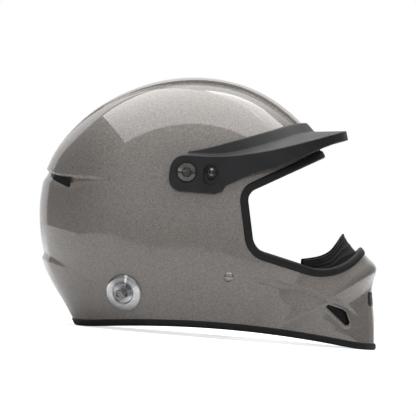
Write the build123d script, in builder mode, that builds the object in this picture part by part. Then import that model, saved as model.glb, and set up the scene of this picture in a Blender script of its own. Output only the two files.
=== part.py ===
from build123d import *
import os
from math import atan2, cos, degrees, hypot, pi, radians, sin, sqrt

# Full-face motor racing helmet with a tilting peak.
# Forward is +X, up is +Z and the wearer's right is -Y.
# The drawing's origin is on the ground, and each piece is set back from it as it is written,
# so that the helmet's own origin is under the middle of the whole.

# Shell: a fan of arches about a line that lies under the helmet, across it
shell_half_length = 178.0
shell_height = 265.0
shell_half_width = 128.5
shell_wall = 4.0
fan_line_back = 5.0
fan_line_drop = 45.0
fan_hub_radius = 20.0
cut_overrun = 60.0
middle_ahead = 4.76

# The side silhouette, from the nape over the crown to the foot of the chin.
# Here and in the other outlines, a place in the side view is a pair of shares:
# of the half length ahead of the origin, and of the height above it.
silhouette_shares = [
    (-0.669, -0.068), (-0.753, 0.026), (-0.840, 0.115), (-0.913, 0.201), (-0.965, 0.302),
    (-0.998, 0.415), (-1.000, 0.490), (-0.986, 0.573), (-0.953, 0.646), (-0.861, 0.745),
    (-0.716, 0.847), (-0.529, 0.928), (-0.338, 0.978), (-0.074, 1.000), (0.192, 0.969),
    (0.367, 0.908), (0.511, 0.831), (0.616, 0.731), (0.725, 0.590), (0.790, 0.455),
    (0.868, 0.390), (0.916, 0.357), (0.972, 0.318), (0.960, 0.268), (0.957, 0.230),
    (0.966, 0.189), (0.979, 0.136), (0.997, 0.019), (1.005, -0.057),
]

# How square each arch is, by its angle in the fan: 2 is an ellipse
squareness_by_angle = [
    (0.0, 2.3), (36.0, 2.3), (50.0, 2.8), (64.0, 3.8), (76.0, 4.6), (90.0, 5.4),
    (104.0, 5.3), (116.0, 4.5), (126.0, 3.1), (136.0, 2.2), (146.0, 1.75), (156.0, 1.55), (180.0, 1.5),
]
fan_angles = [
    9.0, 16.0, 23.0, 29.0, 33.0, 36.5, 41.0, 48.0, 56.0, 64.0, 74.0,
    86.0, 98.0, 110.0, 121.0, 131.0, 141.0, 151.0, 160.0, 168.0,
]
arch_steps = 6
foot_tuck_share = 0.11
foot_tuck_start = 130.0

# Base line: flat at the nape and at the chin, where the helmet rests, and arched between
base_flat_back = 120.0
base_flat_front = 158.0
base_arch_middle = 20.0
base_arch_rise = 9.7

# Edge trims: a channel over the shell's edge
edge_web = 1.8
edge_lip = 1.5
edge_gap = 0.1
base_trim_height = 7.2
eyeport_trim_width = 7.6

# Eyeport: five corners seen from the side, the two front ones ahead of the shell
brow_front_shares = (1.208, 0.949)
brow_back_shares = (0.189, 0.565)
cheek_back_shares = (0.255, 0.353)
chin_low_shares = (0.744, 0.277)
chin_front_shares = (1.208, 0.723)
brow_corner_radius = 12.0
cheek_corner_radius = 19.0
chin_corner_radius = 48.0

# Foam layers and pads inside the shell
layer_gap = 0.3
eps_thickness = 30.0
eps_edge_growth = 12.0
crown_pad_thickness = 9.0
neck_roll_thickness = 17.0
cheek_pad_thickness = 36.0
cheek_pad_depth = 11.6
chin_liner_thickness = 20.0
breath_guard_thickness = 3.2
pad_corner_radius = 4.0
liner_foot = 20.0
cheek_top = 98.0
cheek_rear = 52.0
cheek_front = 64.0
cheek_edge_growth = 12.5
crown_pad_foot = 74.0
crown_pad_front = 24.0
neck_roll_front = 64.0
chin_liner_rear = 78.0
chin_liner_foot = 16.0
breath_guard_foot = 67.0
breath_guard_shares = [(0.540, 0.327), (0.641, 0.345), (0.697, 0.368), (0.728, 0.398), (0.761, 0.440),
                       (0.843, 0.500)]

# Vents
chin_vent_shares = [(0.683, 0.160), (0.710, 0.164), (0.793, 0.150), (0.812, 0.140), (0.837, 0.102),
                    (0.830, 0.090), (0.812, 0.090)]
rear_vent_shares = [(-0.937, 0.568), (-0.847, 0.569), (-0.825, 0.556), (-0.825, 0.533), (-0.840, 0.531),
                    (-0.927, 0.554)]
screen_depth = 1.4
screen_thickness = 1.2
screen_gap = 0.2
mouth_vent_width = 62.0
mouth_vent_height = 14.0
mouth_vent_middle = 52.0
mouth_vent_corner = 4.0
mouth_bar = 5.0

# Peak
pivot_x = -29.6
pivot_z = 165.8
lock_x = -4.4
lock_z = 168.0
peak_wall = 3.2
peak_reach = 164.0
peak_crease_reach = 160.0
peak_half_width = 128.6
peak_crease_half_width = 127.4
peak_plan_power = 2.3
peak_shell_gap = 2.4
peak_overrun = 5.0
fold_passes = 12
peak_angles = [0.0, 12.0, 24.0, 35.0, 45.0, 55.0, 65.0, 75.0, 84.0, 92.0, 100.0]
lower_edge_shares = [(-0.279, 0.536), (-0.054, 0.555), (0.064, 0.589), (0.193, 0.636), (0.345, 0.677),
                     (0.480, 0.718), (0.558, 0.748), (0.615, 0.768), (0.665, 0.784), (0.766, 0.808)]
crease_shares = [(-0.279, 0.689), (-0.071, 0.692), (0.030, 0.697), (0.131, 0.708), (0.238, 0.724),
                 (0.339, 0.743), (0.474, 0.774), (0.626, 0.812), (0.733, 0.839)]
collar_foot_shares = [(-0.279, 0.696), (-0.071, 0.700), (0.030, 0.707), (0.131, 0.725), (0.233, 0.751),
                      (0.334, 0.778), (0.440, 0.808), (0.553, 0.830)]
collar_top_shares = [(-0.279, 0.703), (-0.155, 0.708), (-0.026, 0.734), (0.115, 0.769), (0.294, 0.815),
                     (0.401, 0.844), (0.502, 0.860)]
lobe_back_share = -0.265
lobe_top_share = 0.695
lobe_bottom_share = 0.551
lobe_toe_share = 0.036
lobe_corner_radius = 13.0
lobe_toe_radius = 6.0

# Peak fasteners, all square to the side view
pivot_head_diameter = 18.8
pivot_head_height = 3.0
pivot_recess_diameter = 20.8
pivot_recess_depth = 1.8
pivot_shank_diameter = 6.0
pivot_bush_diameter = 9.0
pivot_flange_diameter = 16.0
pivot_hex = 9.0
lock_head_diameter = 9.3
lock_head_height = 3.8
lock_shank_diameter = 5.0
lock_hex = 4.0
lock_washer_diameter = 13.0
lock_washer_thickness = 1.2
lock_washer_teeth = 24
lock_washer_tooth = 0.5
lock_spacer_diameter = 14.0
lock_recess_diameter = 16.8
lock_recess_depth = 2.6
peak_lift_angle = 11.0
slot_gap = 0.3
running_gap = 0.05
boss_diameter = 23.0
boss_end = 123.3
hole_gap = 0.2
nut_flange_diameter = 16.0
nut_barrel_diameter = 8.6
nut_flange_thickness = 1.6
nut_length = 9.0
hex_depth = 1.8
edge_chamfer = 0.6

# Head-restraint anchors
anchor_x = -82.7
anchor_z = 38.9
anchor_disc_diameter = 38.0
anchor_disc_height = 3.6
anchor_rim_slope = 1.6
anchor_dish_diameter = 24.0
anchor_dish_depth = 1.8
anchor_neck_diameter = 7.0
anchor_neck_length = 6.0
anchor_shoulder_diameter = 11.5
anchor_shoulder_height = 1.6
anchor_head_diameter = 10.6
anchor_head_height = 3.4
anchor_stud_diameter = 6.0
anchor_hex = 5.0

# Chin strap, its rivets, its rings and its snap
rivet_x = 21.9
rivet_z = 63.4
rivet_head_diameter = 9.8
rivet_head_height = 2.0
rivet_shank_diameter = 4.8
rivet_washer_diameter = 11.0
rivet_washer_thickness = 1.2
rivet_tail_height = 0.8
strap_width = 25.0
strap_thickness = 2.0
strap_gap = 1.0
strap_wall_gap = 2.4
strap_level = 11.0
strap_top = 73.0
strap_turn_height = 22.0
strap_turn_inset = 8.4
strap_bend = 9.0
ring_wire = 3.6
ring_gap = 0.2
ring_corner = 3.8
ring_arm = 3.0
ring_inner_width = 27.6
ring_loop_place = 58.0
ring_stitch_place = 84.0
loop_taper_share = 2.5
strap_fold_place = 14.0
strap_tail_place = 62.0
snap_place = 50.0
snap_diameter = 12.0
snap_thickness = 1.6
snap_stud_diameter = 5.0
fold_share = 0.98
rivet_dome_share = 0.9
rivet_tail_share = 0.65

fan_line = (-fan_line_back, -fan_line_drop)
across = shell_half_width + cut_overrun
far = shell_half_length + cut_overrun
top = shell_height + cut_overrun


def side(shares):
    """A place in the side view, from its shares."""
    return (shell_half_length * shares[0], shell_height * shares[1])


def between(table, place):
    """A smooth curve through a table of (place, value) pairs."""
    place = min(max(place, table[0][0]), table[-1][0])
    index = 0
    while index < len(table) - 2 and place > table[index + 1][0]:
        index += 1
    (x0, y0), (x1, y1) = table[index], table[index + 1]
    slopes = []
    for k in (index, index + 1):
        low = table[max(k - 1, 0)]
        high = table[min(k + 1, len(table) - 1)]
        slopes.append((high[1] - low[1]) / (high[0] - low[0]))
    span = x1 - x0
    t = (place - x0) / span
    blend = t * t * (3 - 2 * t)
    start = t * (1 - t) ** 2 * span * slopes[0]
    end = t * t * (t - 1) * span * slopes[1]
    return y0 + (y1 - y0) * blend + start + end


def polar(x, z):
    """The angle in the fan, in degrees, and the distance from the fan line."""
    dx = x - fan_line[0]
    dz = z - fan_line[1]
    return degrees(atan2(dz, dx)), hypot(dx, dz)


silhouette = sorted(polar(*side(shares)) for shares in silhouette_shares)


def arch_width(share, angle, inset):
    """Half the width of an arch at a share of its height, narrower towards the ground."""
    square = between(squareness_by_angle, angle)
    z = fan_line[1] + share * between(silhouette, angle) * sin(radians(angle))
    tuck = 1 - foot_tuck_share * max(1 - z / foot_tuck_start, 0) ** 2
    return (shell_half_width - inset) * sqrt(max(1 - share ** square, 0)) * tuck


def half_width(x, z, inset=0.0):
    """Half the width of a dome at a place in the side view, or less than nothing outside it."""
    angle, radius = polar(x, z)
    share = radius / (between(silhouette, angle) - inset)
    if share >= 1:
        return 1 - share
    return arch_width(share, angle, inset)


def shell_normal(x, z):
    """The outward direction of the shell on the wearer's left, at a place in the side view."""
    step = shell_wall
    slope_x = (half_width(x + step, z) - half_width(x - step, z)) / (2 * step)
    slope_z = (half_width(x, z + step) - half_width(x, z - step)) / (2 * step)
    return Vector(-slope_x, 1, -slope_z).normalized()


def dome(inset):
    """The solid inside the shell's outer surface, drawn in by an inset."""
    with BuildPart(mode=Mode.PRIVATE) as body:
        for angle in fan_angles:
            height = between(silhouette, angle) - inset
            low = fan_hub_radius / height
            flank = []
            for step in range(arch_steps):
                share = low + (1 - low) * sin(step / arch_steps * pi / 2)
                flank.append((arch_width(share, angle, inset), height * share))
            arch = flank + [(0, height)] + [(-width, up) for width, up in reversed(flank)]
            turn = radians(angle)
            section = Plane(
                origin=(fan_line[0], 0, fan_line[1]), x_dir=(0, 1, 0), z_dir=(sin(turn), 0, -cos(turn))
            )
            with BuildSketch(section):
                with BuildLine():
                    Spline(*arch)
                    Line(arch[-1], arch[0])
                make_face()
        loft()
    return body.part


def above_base(lift):
    """The side view's region above the base line, raised by a lift."""
    with BuildSketch(Plane.XZ, mode=Mode.PRIVATE) as region:
        with BuildLine():
            Line((-far, lift), (-base_flat_back, lift))
            ThreePointArc(
                (-base_flat_back, lift), (base_arch_middle, base_arch_rise + lift), (base_flat_front, lift)
            )
            Polyline((base_flat_front, lift), (far, lift), (far, top), (-far, top), (-far, lift))
        make_face()
    return region.sketch


def eyeport(growth):
    """The eyeport seen from the side, grown all round."""
    corners = (
        (side(brow_back_shares), brow_corner_radius),
        (side(cheek_back_shares), cheek_corner_radius),
        (side(chin_low_shares), chin_corner_radius),
    )
    with BuildSketch(Plane.XZ, mode=Mode.PRIVATE) as outline:
        with BuildLine():
            Polyline(
                side(brow_front_shares), *[place for place, _ in corners], side(chin_front_shares), close=True
            )
        make_face()
        for (x, z), radius in corners:
            fillet(outline.vertices().sort_by_distance((x, z))[0], radius)
        if growth:
            offset(amount=growth)
    return outline.sketch


def region(points, radius=0.0):
    """The side view's region inside an outline, with rounded corners where a radius is given."""
    with BuildSketch(Plane.XZ, mode=Mode.PRIVATE) as area:
        with BuildLine():
            Polyline(*points, close=True)
        make_face()
        if radius:
            fillet(area.vertices(), radius)
    return area.sketch


def layer(outer, inner, outline):
    """What lies between two domes, inside an outline in the side view."""
    with BuildPart(mode=Mode.PRIVATE) as wall:
        extrude(outline, amount=across, both=True)
        add(outer, mode=Mode.INTERSECT)
        add(inner, mode=Mode.SUBTRACT)
    return wall.part


def mouth_slots(shrink):
    """The two slots of the mouth vent, seen from the front."""
    slot = (mouth_vent_width - mouth_bar) / 2
    beside = (slot + mouth_bar) / 2
    with BuildSketch(Plane.YZ, mode=Mode.PRIVATE) as slots:
        with Locations((beside, mouth_vent_middle), (-beside, mouth_vent_middle)):
            RectangleRounded(slot - 2 * shrink, mouth_vent_height - 2 * shrink, mouth_vent_corner - shrink)
    return slots.sketch


def peg(x, z, diameter, start, end):
    """A round bar on the wearer's left, square to the side view, from one place across to another."""
    with BuildPart(mode=Mode.PRIVATE) as bar:
        with BuildSketch(Plane.XZ.offset(-start)):
            with Locations((x, z)):
                Circle(diameter / 2)
        extrude(amount=-(end - start))
    return bar.part


def finish(piece, name):
    """Names a piece, sets it back to the helmet's own origin and writes it."""
    placed = piece.part.moved(Location((-middle_ahead, 0, 0)))
    placed.label = name
    export_step(placed, f"parts/{name}.step")


os.makedirs("parts", exist_ok=True)

# The domes that the layers of the helmet are cut from
eps_inset = shell_wall + layer_gap
pad_inset = eps_inset + eps_thickness + layer_gap
guard_inset = shell_wall + edge_lip + layer_gap
guard_inner_inset = guard_inset + breath_guard_thickness
outside = dome(0)
inside = dome(shell_wall)
eps_outside = dome(eps_inset)
eps_inside = dome(eps_inset + eps_thickness)
pad_outside = dome(pad_inset)

# Outer shell, with its vents and its fastener holes
peak_screw_holes = [(pivot_x, pivot_z, pivot_shank_diameter), (lock_x, lock_z, lock_shank_diameter)]
shell_holes = peak_screw_holes + [(rivet_x, rivet_z, rivet_shank_diameter)]
anchor_plane = Plane(
    origin=(anchor_x, half_width(anchor_x, anchor_z), anchor_z), z_dir=shell_normal(anchor_x, anchor_z)
)
chin_vent = region([side(shares) for shares in chin_vent_shares])
rear_vent = region([side(shares) for shares in rear_vent_shares])
with BuildPart() as outer_shell:
    add(outside)
    add(inside, mode=Mode.SUBTRACT)
    extrude(above_base(edge_web), amount=across, both=True, mode=Mode.INTERSECT)
    extrude(eyeport(edge_web), amount=across, both=True, mode=Mode.SUBTRACT)
    extrude(chin_vent, amount=across, both=True, mode=Mode.SUBTRACT)
    extrude(rear_vent, amount=across, both=True, mode=Mode.SUBTRACT)
    extrude(mouth_slots(0), amount=far, mode=Mode.SUBTRACT)
    for x, z, diameter in shell_holes:
        drill = peg(x, z, diameter + 2 * hole_gap, 0, far)
        add(drill, mode=Mode.SUBTRACT)
        mirror(drill, about=Plane.XZ, mode=Mode.SUBTRACT)
    with BuildSketch(anchor_plane):
        Circle(anchor_stud_diameter / 2 + hole_gap)
    anchor_bore = extrude(amount=cut_overrun / 2, both=True, mode=Mode.SUBTRACT)
    mirror(anchor_bore, about=Plane.XZ, mode=Mode.SUBTRACT)
finish(outer_shell, "outer_shell")

# Edge trims: each a band of a thicker wall, less the shell's edge
trim_outside = dome(-edge_lip)
trim_inside = dome(shell_wall + edge_lip)
groove_outside = dome(-edge_gap)
groove_inside = dome(shell_wall + edge_gap)


with BuildPart() as eyeport_edge:
    extrude(eyeport(eyeport_trim_width + edge_web), amount=across, both=True)
    extrude(eyeport(edge_web - edge_gap), amount=across, both=True, mode=Mode.SUBTRACT)
    add(groove_outside, mode=Mode.INTERSECT)
    add(groove_inside, mode=Mode.SUBTRACT)

with BuildPart() as eyeport_trim:
    extrude(eyeport(eyeport_trim_width), amount=across, both=True)
    extrude(eyeport(0), amount=across, both=True, mode=Mode.SUBTRACT)
    add(trim_outside, mode=Mode.INTERSECT)
    add(trim_inside, mode=Mode.SUBTRACT)
    add(eyeport_edge.part, mode=Mode.SUBTRACT)
finish(eyeport_trim, "eyeport_trim")

with BuildPart() as base_edge:
    extrude(above_base(edge_web - edge_gap), amount=across, both=True)
    extrude(above_base(2 * base_trim_height), amount=across, both=True, mode=Mode.SUBTRACT)
    add(groove_outside, mode=Mode.INTERSECT)
    add(groove_inside, mode=Mode.SUBTRACT)

with BuildPart() as base_trim:
    extrude(above_base(0), amount=across, both=True)
    extrude(above_base(base_trim_height), amount=across, both=True, mode=Mode.SUBTRACT)
    add(trim_outside, mode=Mode.INTERSECT)
    add(trim_inside, mode=Mode.SUBTRACT)
    add(base_edge.part, mode=Mode.SUBTRACT)
finish(base_trim, "base_trim")

# Vent screens, let into the shell's wall
screen_outside = dome(screen_depth)
screen_inside = dome(screen_depth + screen_thickness)
for name, vent_shares in (("chin_vent_screens", chin_vent_shares), ("rear_vent_screens", rear_vent_shares)):
    with BuildSketch(Plane.XZ) as mesh_outline:
        with BuildLine():
            Polyline(*[side(shares) for shares in vent_shares], close=True)
        make_face()
        offset(amount=-screen_gap)
    with BuildPart() as screens:
        add(layer(screen_outside, screen_inside, mesh_outline.sketch))
    finish(screens, name)

with BuildPart() as mouth_vent_screens:
    extrude(mouth_slots(screen_gap), amount=far)
    add(screen_outside, mode=Mode.INTERSECT)
    add(screen_inside, mode=Mode.SUBTRACT)
finish(mouth_vent_screens, "mouth_vent_screens")

# Energy-absorbing liner over the head, with room for the nuts behind the peak's screws
_, brow_z = side(brow_back_shares)
cheek_x, cheek_z = side(cheek_back_shares)
with BuildPart() as eps_liner:
    outline = region([
        (-far, liner_foot), (-cheek_rear - eps_edge_growth, liner_foot), (-cheek_rear, cheek_top + layer_gap),
        (cheek_x, cheek_top + layer_gap), (far, brow_z), (far, top), (-far, top),
    ])
    extrude(outline, amount=across, both=True)
    extrude(eyeport(eps_edge_growth), amount=across, both=True, mode=Mode.SUBTRACT)
    add(eps_outside, mode=Mode.INTERSECT)
    add(eps_inside, mode=Mode.SUBTRACT)
    for x, z, _ in peak_screw_holes:
        seat = half_width(x, z)
        nut_end = seat - shell_wall - nut_length
        pocket = peg(x, z, nut_flange_diameter + 2 * hole_gap, nut_end - layer_gap, seat)
        add(pocket, mode=Mode.SUBTRACT)
        mirror(pocket, about=Plane.XZ, mode=Mode.SUBTRACT)
    with BuildSketch(anchor_plane):
        Circle(nut_flange_diameter / 2 + hole_gap)
    pocket = extrude(amount=-(2 * shell_wall + nut_length + layer_gap), mode=Mode.SUBTRACT)
    mirror(pocket, about=Plane.XZ, mode=Mode.SUBTRACT)
finish(eps_liner, "eps_liner")

# Crown pad and neck roll, on the inner face of the liner
crown_pad_inside = dome(pad_inset + crown_pad_thickness)
with BuildPart() as crown_pad:
    outline = region([
        (-far, crown_pad_foot), (-cheek_rear, crown_pad_foot), (-cheek_rear, cheek_top + crown_pad_thickness),
        (cheek_x - crown_pad_front, cheek_top + crown_pad_thickness), (cheek_x - crown_pad_front, brow_z),
        (far, brow_z), (far, top), (-far, top),
    ])
    extrude(outline, amount=across, both=True)
    extrude(eyeport(eps_edge_growth + crown_pad_thickness), amount=across, both=True, mode=Mode.SUBTRACT)
    add(pad_outside, mode=Mode.INTERSECT)
    add(crown_pad_inside, mode=Mode.SUBTRACT)
finish(crown_pad, "crown_pad")

neck_roll_inside = dome(pad_inset + neck_roll_thickness)
with BuildPart() as neck_roll:
    outline = region([
        (-far, liner_foot), (-neck_roll_front, liner_foot), (-neck_roll_front, crown_pad_foot - layer_gap),
        (-far, crown_pad_foot - layer_gap),
    ])
    extrude(outline, amount=across, both=True)
    add(pad_outside, mode=Mode.INTERSECT)
    add(neck_roll_inside, mode=Mode.SUBTRACT)
finish(neck_roll, "neck_roll")

# Cheek pads, inside the straps
cheek_outside = dome(cheek_pad_depth)
cheek_inside = dome(cheek_pad_depth + cheek_pad_thickness)
cheek_outline = region(
    [
        (-cheek_rear + layer_gap, liner_foot), (cheek_front, liner_foot), (cheek_front, cheek_z),
        (cheek_x, cheek_top), (-cheek_rear + layer_gap, cheek_top),
    ],
    pad_corner_radius,
)
with BuildPart() as cheek_pad_right:
    extrude(cheek_outline, amount=across, both=True)
    extrude(eyeport(cheek_edge_growth), amount=across, both=True, mode=Mode.SUBTRACT)
    add(cheek_outside, mode=Mode.INTERSECT)
    add(cheek_inside, mode=Mode.SUBTRACT)
    split(bisect_by=Plane.XZ)
finish(cheek_pad_right, "cheek_pad_right")
with BuildPart() as cheek_pad_left:
    add(cheek_pad_right.part)
    mirror(about=Plane.XZ, mode=Mode.REPLACE)
finish(cheek_pad_left, "cheek_pad_left")

# Chin bar liner and breath guard
guard_outside = dome(guard_inset)
guard_inside = dome(guard_inner_inset)
chin_liner_inside = dome(eps_inset + chin_liner_thickness)
with BuildPart() as chin_bar_liner:
    outline = region([
        (chin_liner_rear, chin_liner_foot), (far, chin_liner_foot), (far, breath_guard_foot - layer_gap),
        (chin_liner_rear, breath_guard_foot - layer_gap),
    ])
    extrude(outline, amount=across, both=True)
    extrude(mouth_slots(0), amount=far, mode=Mode.SUBTRACT)
    add(eps_outside, mode=Mode.INTERSECT)
    add(chin_liner_inside, mode=Mode.SUBTRACT)
finish(chin_bar_liner, "chin_bar_liner")

guard_top = [side(shares) for shares in breath_guard_shares]
with BuildPart() as breath_guard:
    outline = region([
        (guard_top[0][0], breath_guard_foot), *guard_top, (far, guard_top[-1][1]), (far, breath_guard_foot),
    ])
    extrude(outline, amount=across, both=True)
    add(guard_outside, mode=Mode.INTERSECT)
    add(guard_inside, mode=Mode.SUBTRACT)
finish(breath_guard, "breath_guard")

# Peak: folded plates fanned about an upright line through the pivots, trimmed in the side view
lower_edge = [side(shares) for shares in lower_edge_shares]
crease = [side(shares) for shares in crease_shares]
collar_foot = [side(shares) for shares in collar_foot_shares]
collar_top = [side(shares) for shares in collar_top_shares]


def plan_reach(turn, reach, width):
    """The peak's outer edge seen from above, as a distance from the pivots' middle."""
    power = peak_plan_power
    ahead = max(cos(turn), 0) / reach
    aside = sin(turn) / width
    return (ahead ** power + aside ** power) ** (-1 / power)


def shell_reach(turn, z):
    """How far the shell's surface is from the pivots' middle, at a height."""
    low, high = 0.0, far
    while high - low > edge_gap / 2:
        reach = (low + high) / 2
        if half_width(pivot_x + reach * cos(turn), z) > reach * sin(turn):
            low = reach
        else:
            high = reach
    return low


def fold_on_shell(turn, fold):
    """Where a fold line that hugs the shell passes, as a distance and a height."""
    z = fold[-1][1]
    for _ in range(fold_passes):
        reach = shell_reach(turn, z) + peak_shell_gap
        z = (z + between(fold, pivot_x + reach * cos(turn))) / 2
    return reach, z


def peak_section(degrees_aside):
    """The peak's cross-section at an angle from straight ahead."""
    turn = radians(degrees_aside)
    rim = plan_reach(turn, peak_reach, peak_half_width)
    bend = plan_reach(turn, peak_crease_reach, peak_crease_half_width)
    low_z = between(lower_edge, pivot_x + rim * cos(turn)) - peak_overrun
    bend_z = between(crease, pivot_x + bend * cos(turn))
    foot, foot_z = fold_on_shell(turn, collar_foot)
    under_foot = shell_reach(turn, foot_z - peak_wall) + peak_shell_gap
    crown, crown_z = fold_on_shell(turn, collar_top)
    return [
        (rim, low_z), (bend, bend_z), (foot + peak_wall, foot_z), (crown + peak_wall, crown_z),
        (crown, crown_z), (under_foot, foot_z - peak_wall), (bend - peak_wall, bend_z - peak_wall),
        (rim - peak_wall, low_z),
    ]


lobe_back = shell_half_length * lobe_back_share
lobe_top = shell_height * lobe_top_share
lobe_bottom = shell_height * lobe_bottom_share
lobe_toe = shell_half_length * lobe_toe_share
skirt_edge = [place for place in lower_edge if place[0] > lobe_toe]
lobe_outline = [(lobe_back, lobe_top), (lobe_back, lobe_bottom), (lobe_toe, lobe_bottom)]
with BuildSketch(Plane.XZ) as peak_side:
    with BuildLine():
        Polyline(*lobe_outline, *skirt_edge, (far, skirt_edge[-1][1]), (far, top), (pivot_x, top),
                 (pivot_x, lobe_top), close=True)
    make_face()
    for (x, z), radius in zip(lobe_outline, (lobe_corner_radius, lobe_corner_radius, lobe_toe_radius)):
        fillet(peak_side.vertices().sort_by_distance((x, z))[0], radius)

lock_distance = hypot(lock_x - pivot_x, lock_z - pivot_z)
lock_travel = lock_distance * radians(peak_lift_angle)
slot_middle = (lock_x, lock_z - lock_travel / 2)
recess_floor = peak_half_width - pivot_recess_depth
lock_floor = peak_half_width - lock_recess_depth

with BuildPart() as peak:
    for angle in [-angle for angle in reversed(peak_angles[1:])] + peak_angles:
        turn = radians(angle)
        section = Plane(
            origin=(pivot_x, 0, 0), x_dir=(cos(turn), sin(turn), 0), z_dir=(sin(turn), -cos(turn), 0)
        )
        with BuildSketch(section):
            with BuildLine():
                Polyline(*peak_section(abs(angle)), close=True)
            make_face()
    loft()
    extrude(peak_side.sketch, amount=across, both=True, mode=Mode.INTERSECT)
    for x, z in ((pivot_x, pivot_z), slot_middle):
        boss = peg(x, z, boss_diameter, boss_end, lock_floor)
        add(boss)
        mirror(boss, about=Plane.XZ)
    for cutter in (
        peg(pivot_x, pivot_z, pivot_bush_diameter + 2 * running_gap, 0, far),
        peg(pivot_x, pivot_z, pivot_recess_diameter, recess_floor, far),
    ):
        add(cutter, mode=Mode.SUBTRACT)
        mirror(cutter, about=Plane.XZ, mode=Mode.SUBTRACT)
    for width, floor in ((lock_shank_diameter + 2 * slot_gap, 0), (lock_recess_diameter, lock_floor)):
        with BuildSketch(Plane.XZ.offset(-floor)):
            with Locations(slot_middle):
                SlotOverall(width + lock_travel, width, rotation=90)
        slot = extrude(amount=-far, mode=Mode.SUBTRACT)
        mirror(slot, about=Plane.XZ, mode=Mode.SUBTRACT)
finish(peak, "peak")

# Peak fasteners: on each side a hinge screw on a bush, and a lock screw on a toothed washer
hinge_seat = half_width(pivot_x, pivot_z)
lock_seat = half_width(lock_x, lock_z)
rivet_seat = half_width(rivet_x, rivet_z)


def pair(piece, name):
    """Adds the wearer's right-hand twin of a piece and writes both as one node."""
    with BuildPart() as both:
        add(piece.part)
        mirror(piece.part, about=Plane.XZ)
    finish(both, name)


def hex_socket(x, z, width, depth, end):
    """A hexagonal key's hole, from a screw's end inwards."""
    with BuildPart(mode=Mode.PRIVATE) as hole:
        with BuildSketch(Plane.XZ.offset(-(end - depth))):
            with Locations((x, z)):
                RegularPolygon(width / 2, 6, major_radius=False)
        extrude(amount=-(depth + far))
    return hole.part


def screw(x, z, head, head_height, shank, under_head, nut_end, key):
    """A screw with a bevelled head, square to the side view."""
    with BuildPart() as body:
        add(peg(x, z, head, under_head, under_head + head_height))
        chamfer(body.edges().sort_by(Axis.Y)[-1], edge_chamfer)
        add(peg(x, z, shank, nut_end, under_head))
        add(hex_socket(x, z, key, hex_depth, under_head + head_height), mode=Mode.SUBTRACT)
    return body


def wall_nut(x, z, seat, shank):
    """A flanged nut against the inside of the shell."""
    start = seat - shell_wall - nut_length
    with BuildPart() as nut:
        add(peg(x, z, nut_barrel_diameter, start, seat))
        add(peg(x, z, nut_flange_diameter, seat - 2 * shell_wall - nut_flange_thickness, seat))
        add(nut_room, mode=Mode.INTERSECT)
        add(peg(x, z, shank + 2 * running_gap, start - nut_length, far), mode=Mode.SUBTRACT)
    return nut


nut_room = dome(shell_wall + running_gap)
spacer_room = dome(-running_gap)
pair(
    screw(pivot_x, pivot_z, pivot_head_diameter, pivot_head_height, pivot_shank_diameter,
          recess_floor + running_gap, hinge_seat - shell_wall - nut_length, pivot_hex),
    "peak_hinge_screws",
)
pair(
    screw(lock_x, lock_z, lock_head_diameter, lock_head_height, lock_shank_diameter,
          lock_floor + running_gap + lock_washer_thickness, lock_seat - shell_wall - nut_length, lock_hex),
    "peak_lock_screws",
)
pair(wall_nut(pivot_x, pivot_z, hinge_seat, pivot_shank_diameter), "peak_hinge_nuts")
pair(wall_nut(lock_x, lock_z, lock_seat, lock_shank_diameter), "peak_lock_nuts")

with BuildPart() as hinge_bush:
    add(peg(pivot_x, pivot_z, pivot_bush_diameter, hinge_seat - shell_wall, recess_floor + running_gap))
    add(peg(pivot_x, pivot_z, pivot_flange_diameter, hinge_seat - shell_wall, boss_end - running_gap))
    add(spacer_room, mode=Mode.SUBTRACT)
    add(peg(pivot_x, pivot_z, pivot_shank_diameter + 2 * running_gap, 0, far), mode=Mode.SUBTRACT)
pair(hinge_bush, "peak_hinge_bushes")

with BuildPart() as lock_spacer:
    add(peg(lock_x, lock_z, lock_spacer_diameter, lock_seat - shell_wall, boss_end - running_gap))
    add(spacer_room, mode=Mode.SUBTRACT)
    add(peg(lock_x, lock_z, lock_shank_diameter + 2 * running_gap, 0, far), mode=Mode.SUBTRACT)
pair(lock_spacer, "peak_lock_spacers")

with BuildPart() as lock_washer:
    add(peg(lock_x, lock_z, lock_washer_diameter, lock_floor + running_gap,
            lock_floor + running_gap + lock_washer_thickness))
    with BuildSketch(Plane.XZ.offset(-lock_floor)):
        with Locations((lock_x, lock_z)):
            with PolarLocations(lock_washer_diameter / 2, lock_washer_teeth):
                Rectangle(2 * lock_washer_tooth, lock_washer_tooth)
    extrude(amount=-far, mode=Mode.SUBTRACT)
    add(peg(lock_x, lock_z, lock_shank_diameter + 2 * running_gap, 0, far), mode=Mode.SUBTRACT)
pair(lock_washer, "peak_lock_washers")

# Head-restraint anchors: a dished disc and a post on the shell, and a nut inside
dish_floor = anchor_plane.offset(anchor_disc_height - anchor_dish_depth)
post_height = anchor_neck_length + anchor_shoulder_height
with BuildPart() as anchor_disc:
    with BuildSketch(anchor_plane.offset(-shell_wall)):
        Circle(anchor_disc_diameter / 2)
    extrude(amount=anchor_disc_height + shell_wall)
    chamfer(anchor_disc.edges().sort_by(Axis(anchor_plane.origin, anchor_plane.z_dir))[-1],
            length=anchor_rim_slope, length2=2 * anchor_rim_slope)
    with BuildSketch(dish_floor):
        Circle(anchor_dish_diameter / 2)
    extrude(amount=far, mode=Mode.SUBTRACT, taper=-45)
    with BuildSketch(anchor_plane):
        Circle(anchor_stud_diameter / 2 + running_gap)
    extrude(amount=far, both=True, mode=Mode.SUBTRACT)
    add(spacer_room, mode=Mode.SUBTRACT)
pair(anchor_disc, "anchor_discs")

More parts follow.
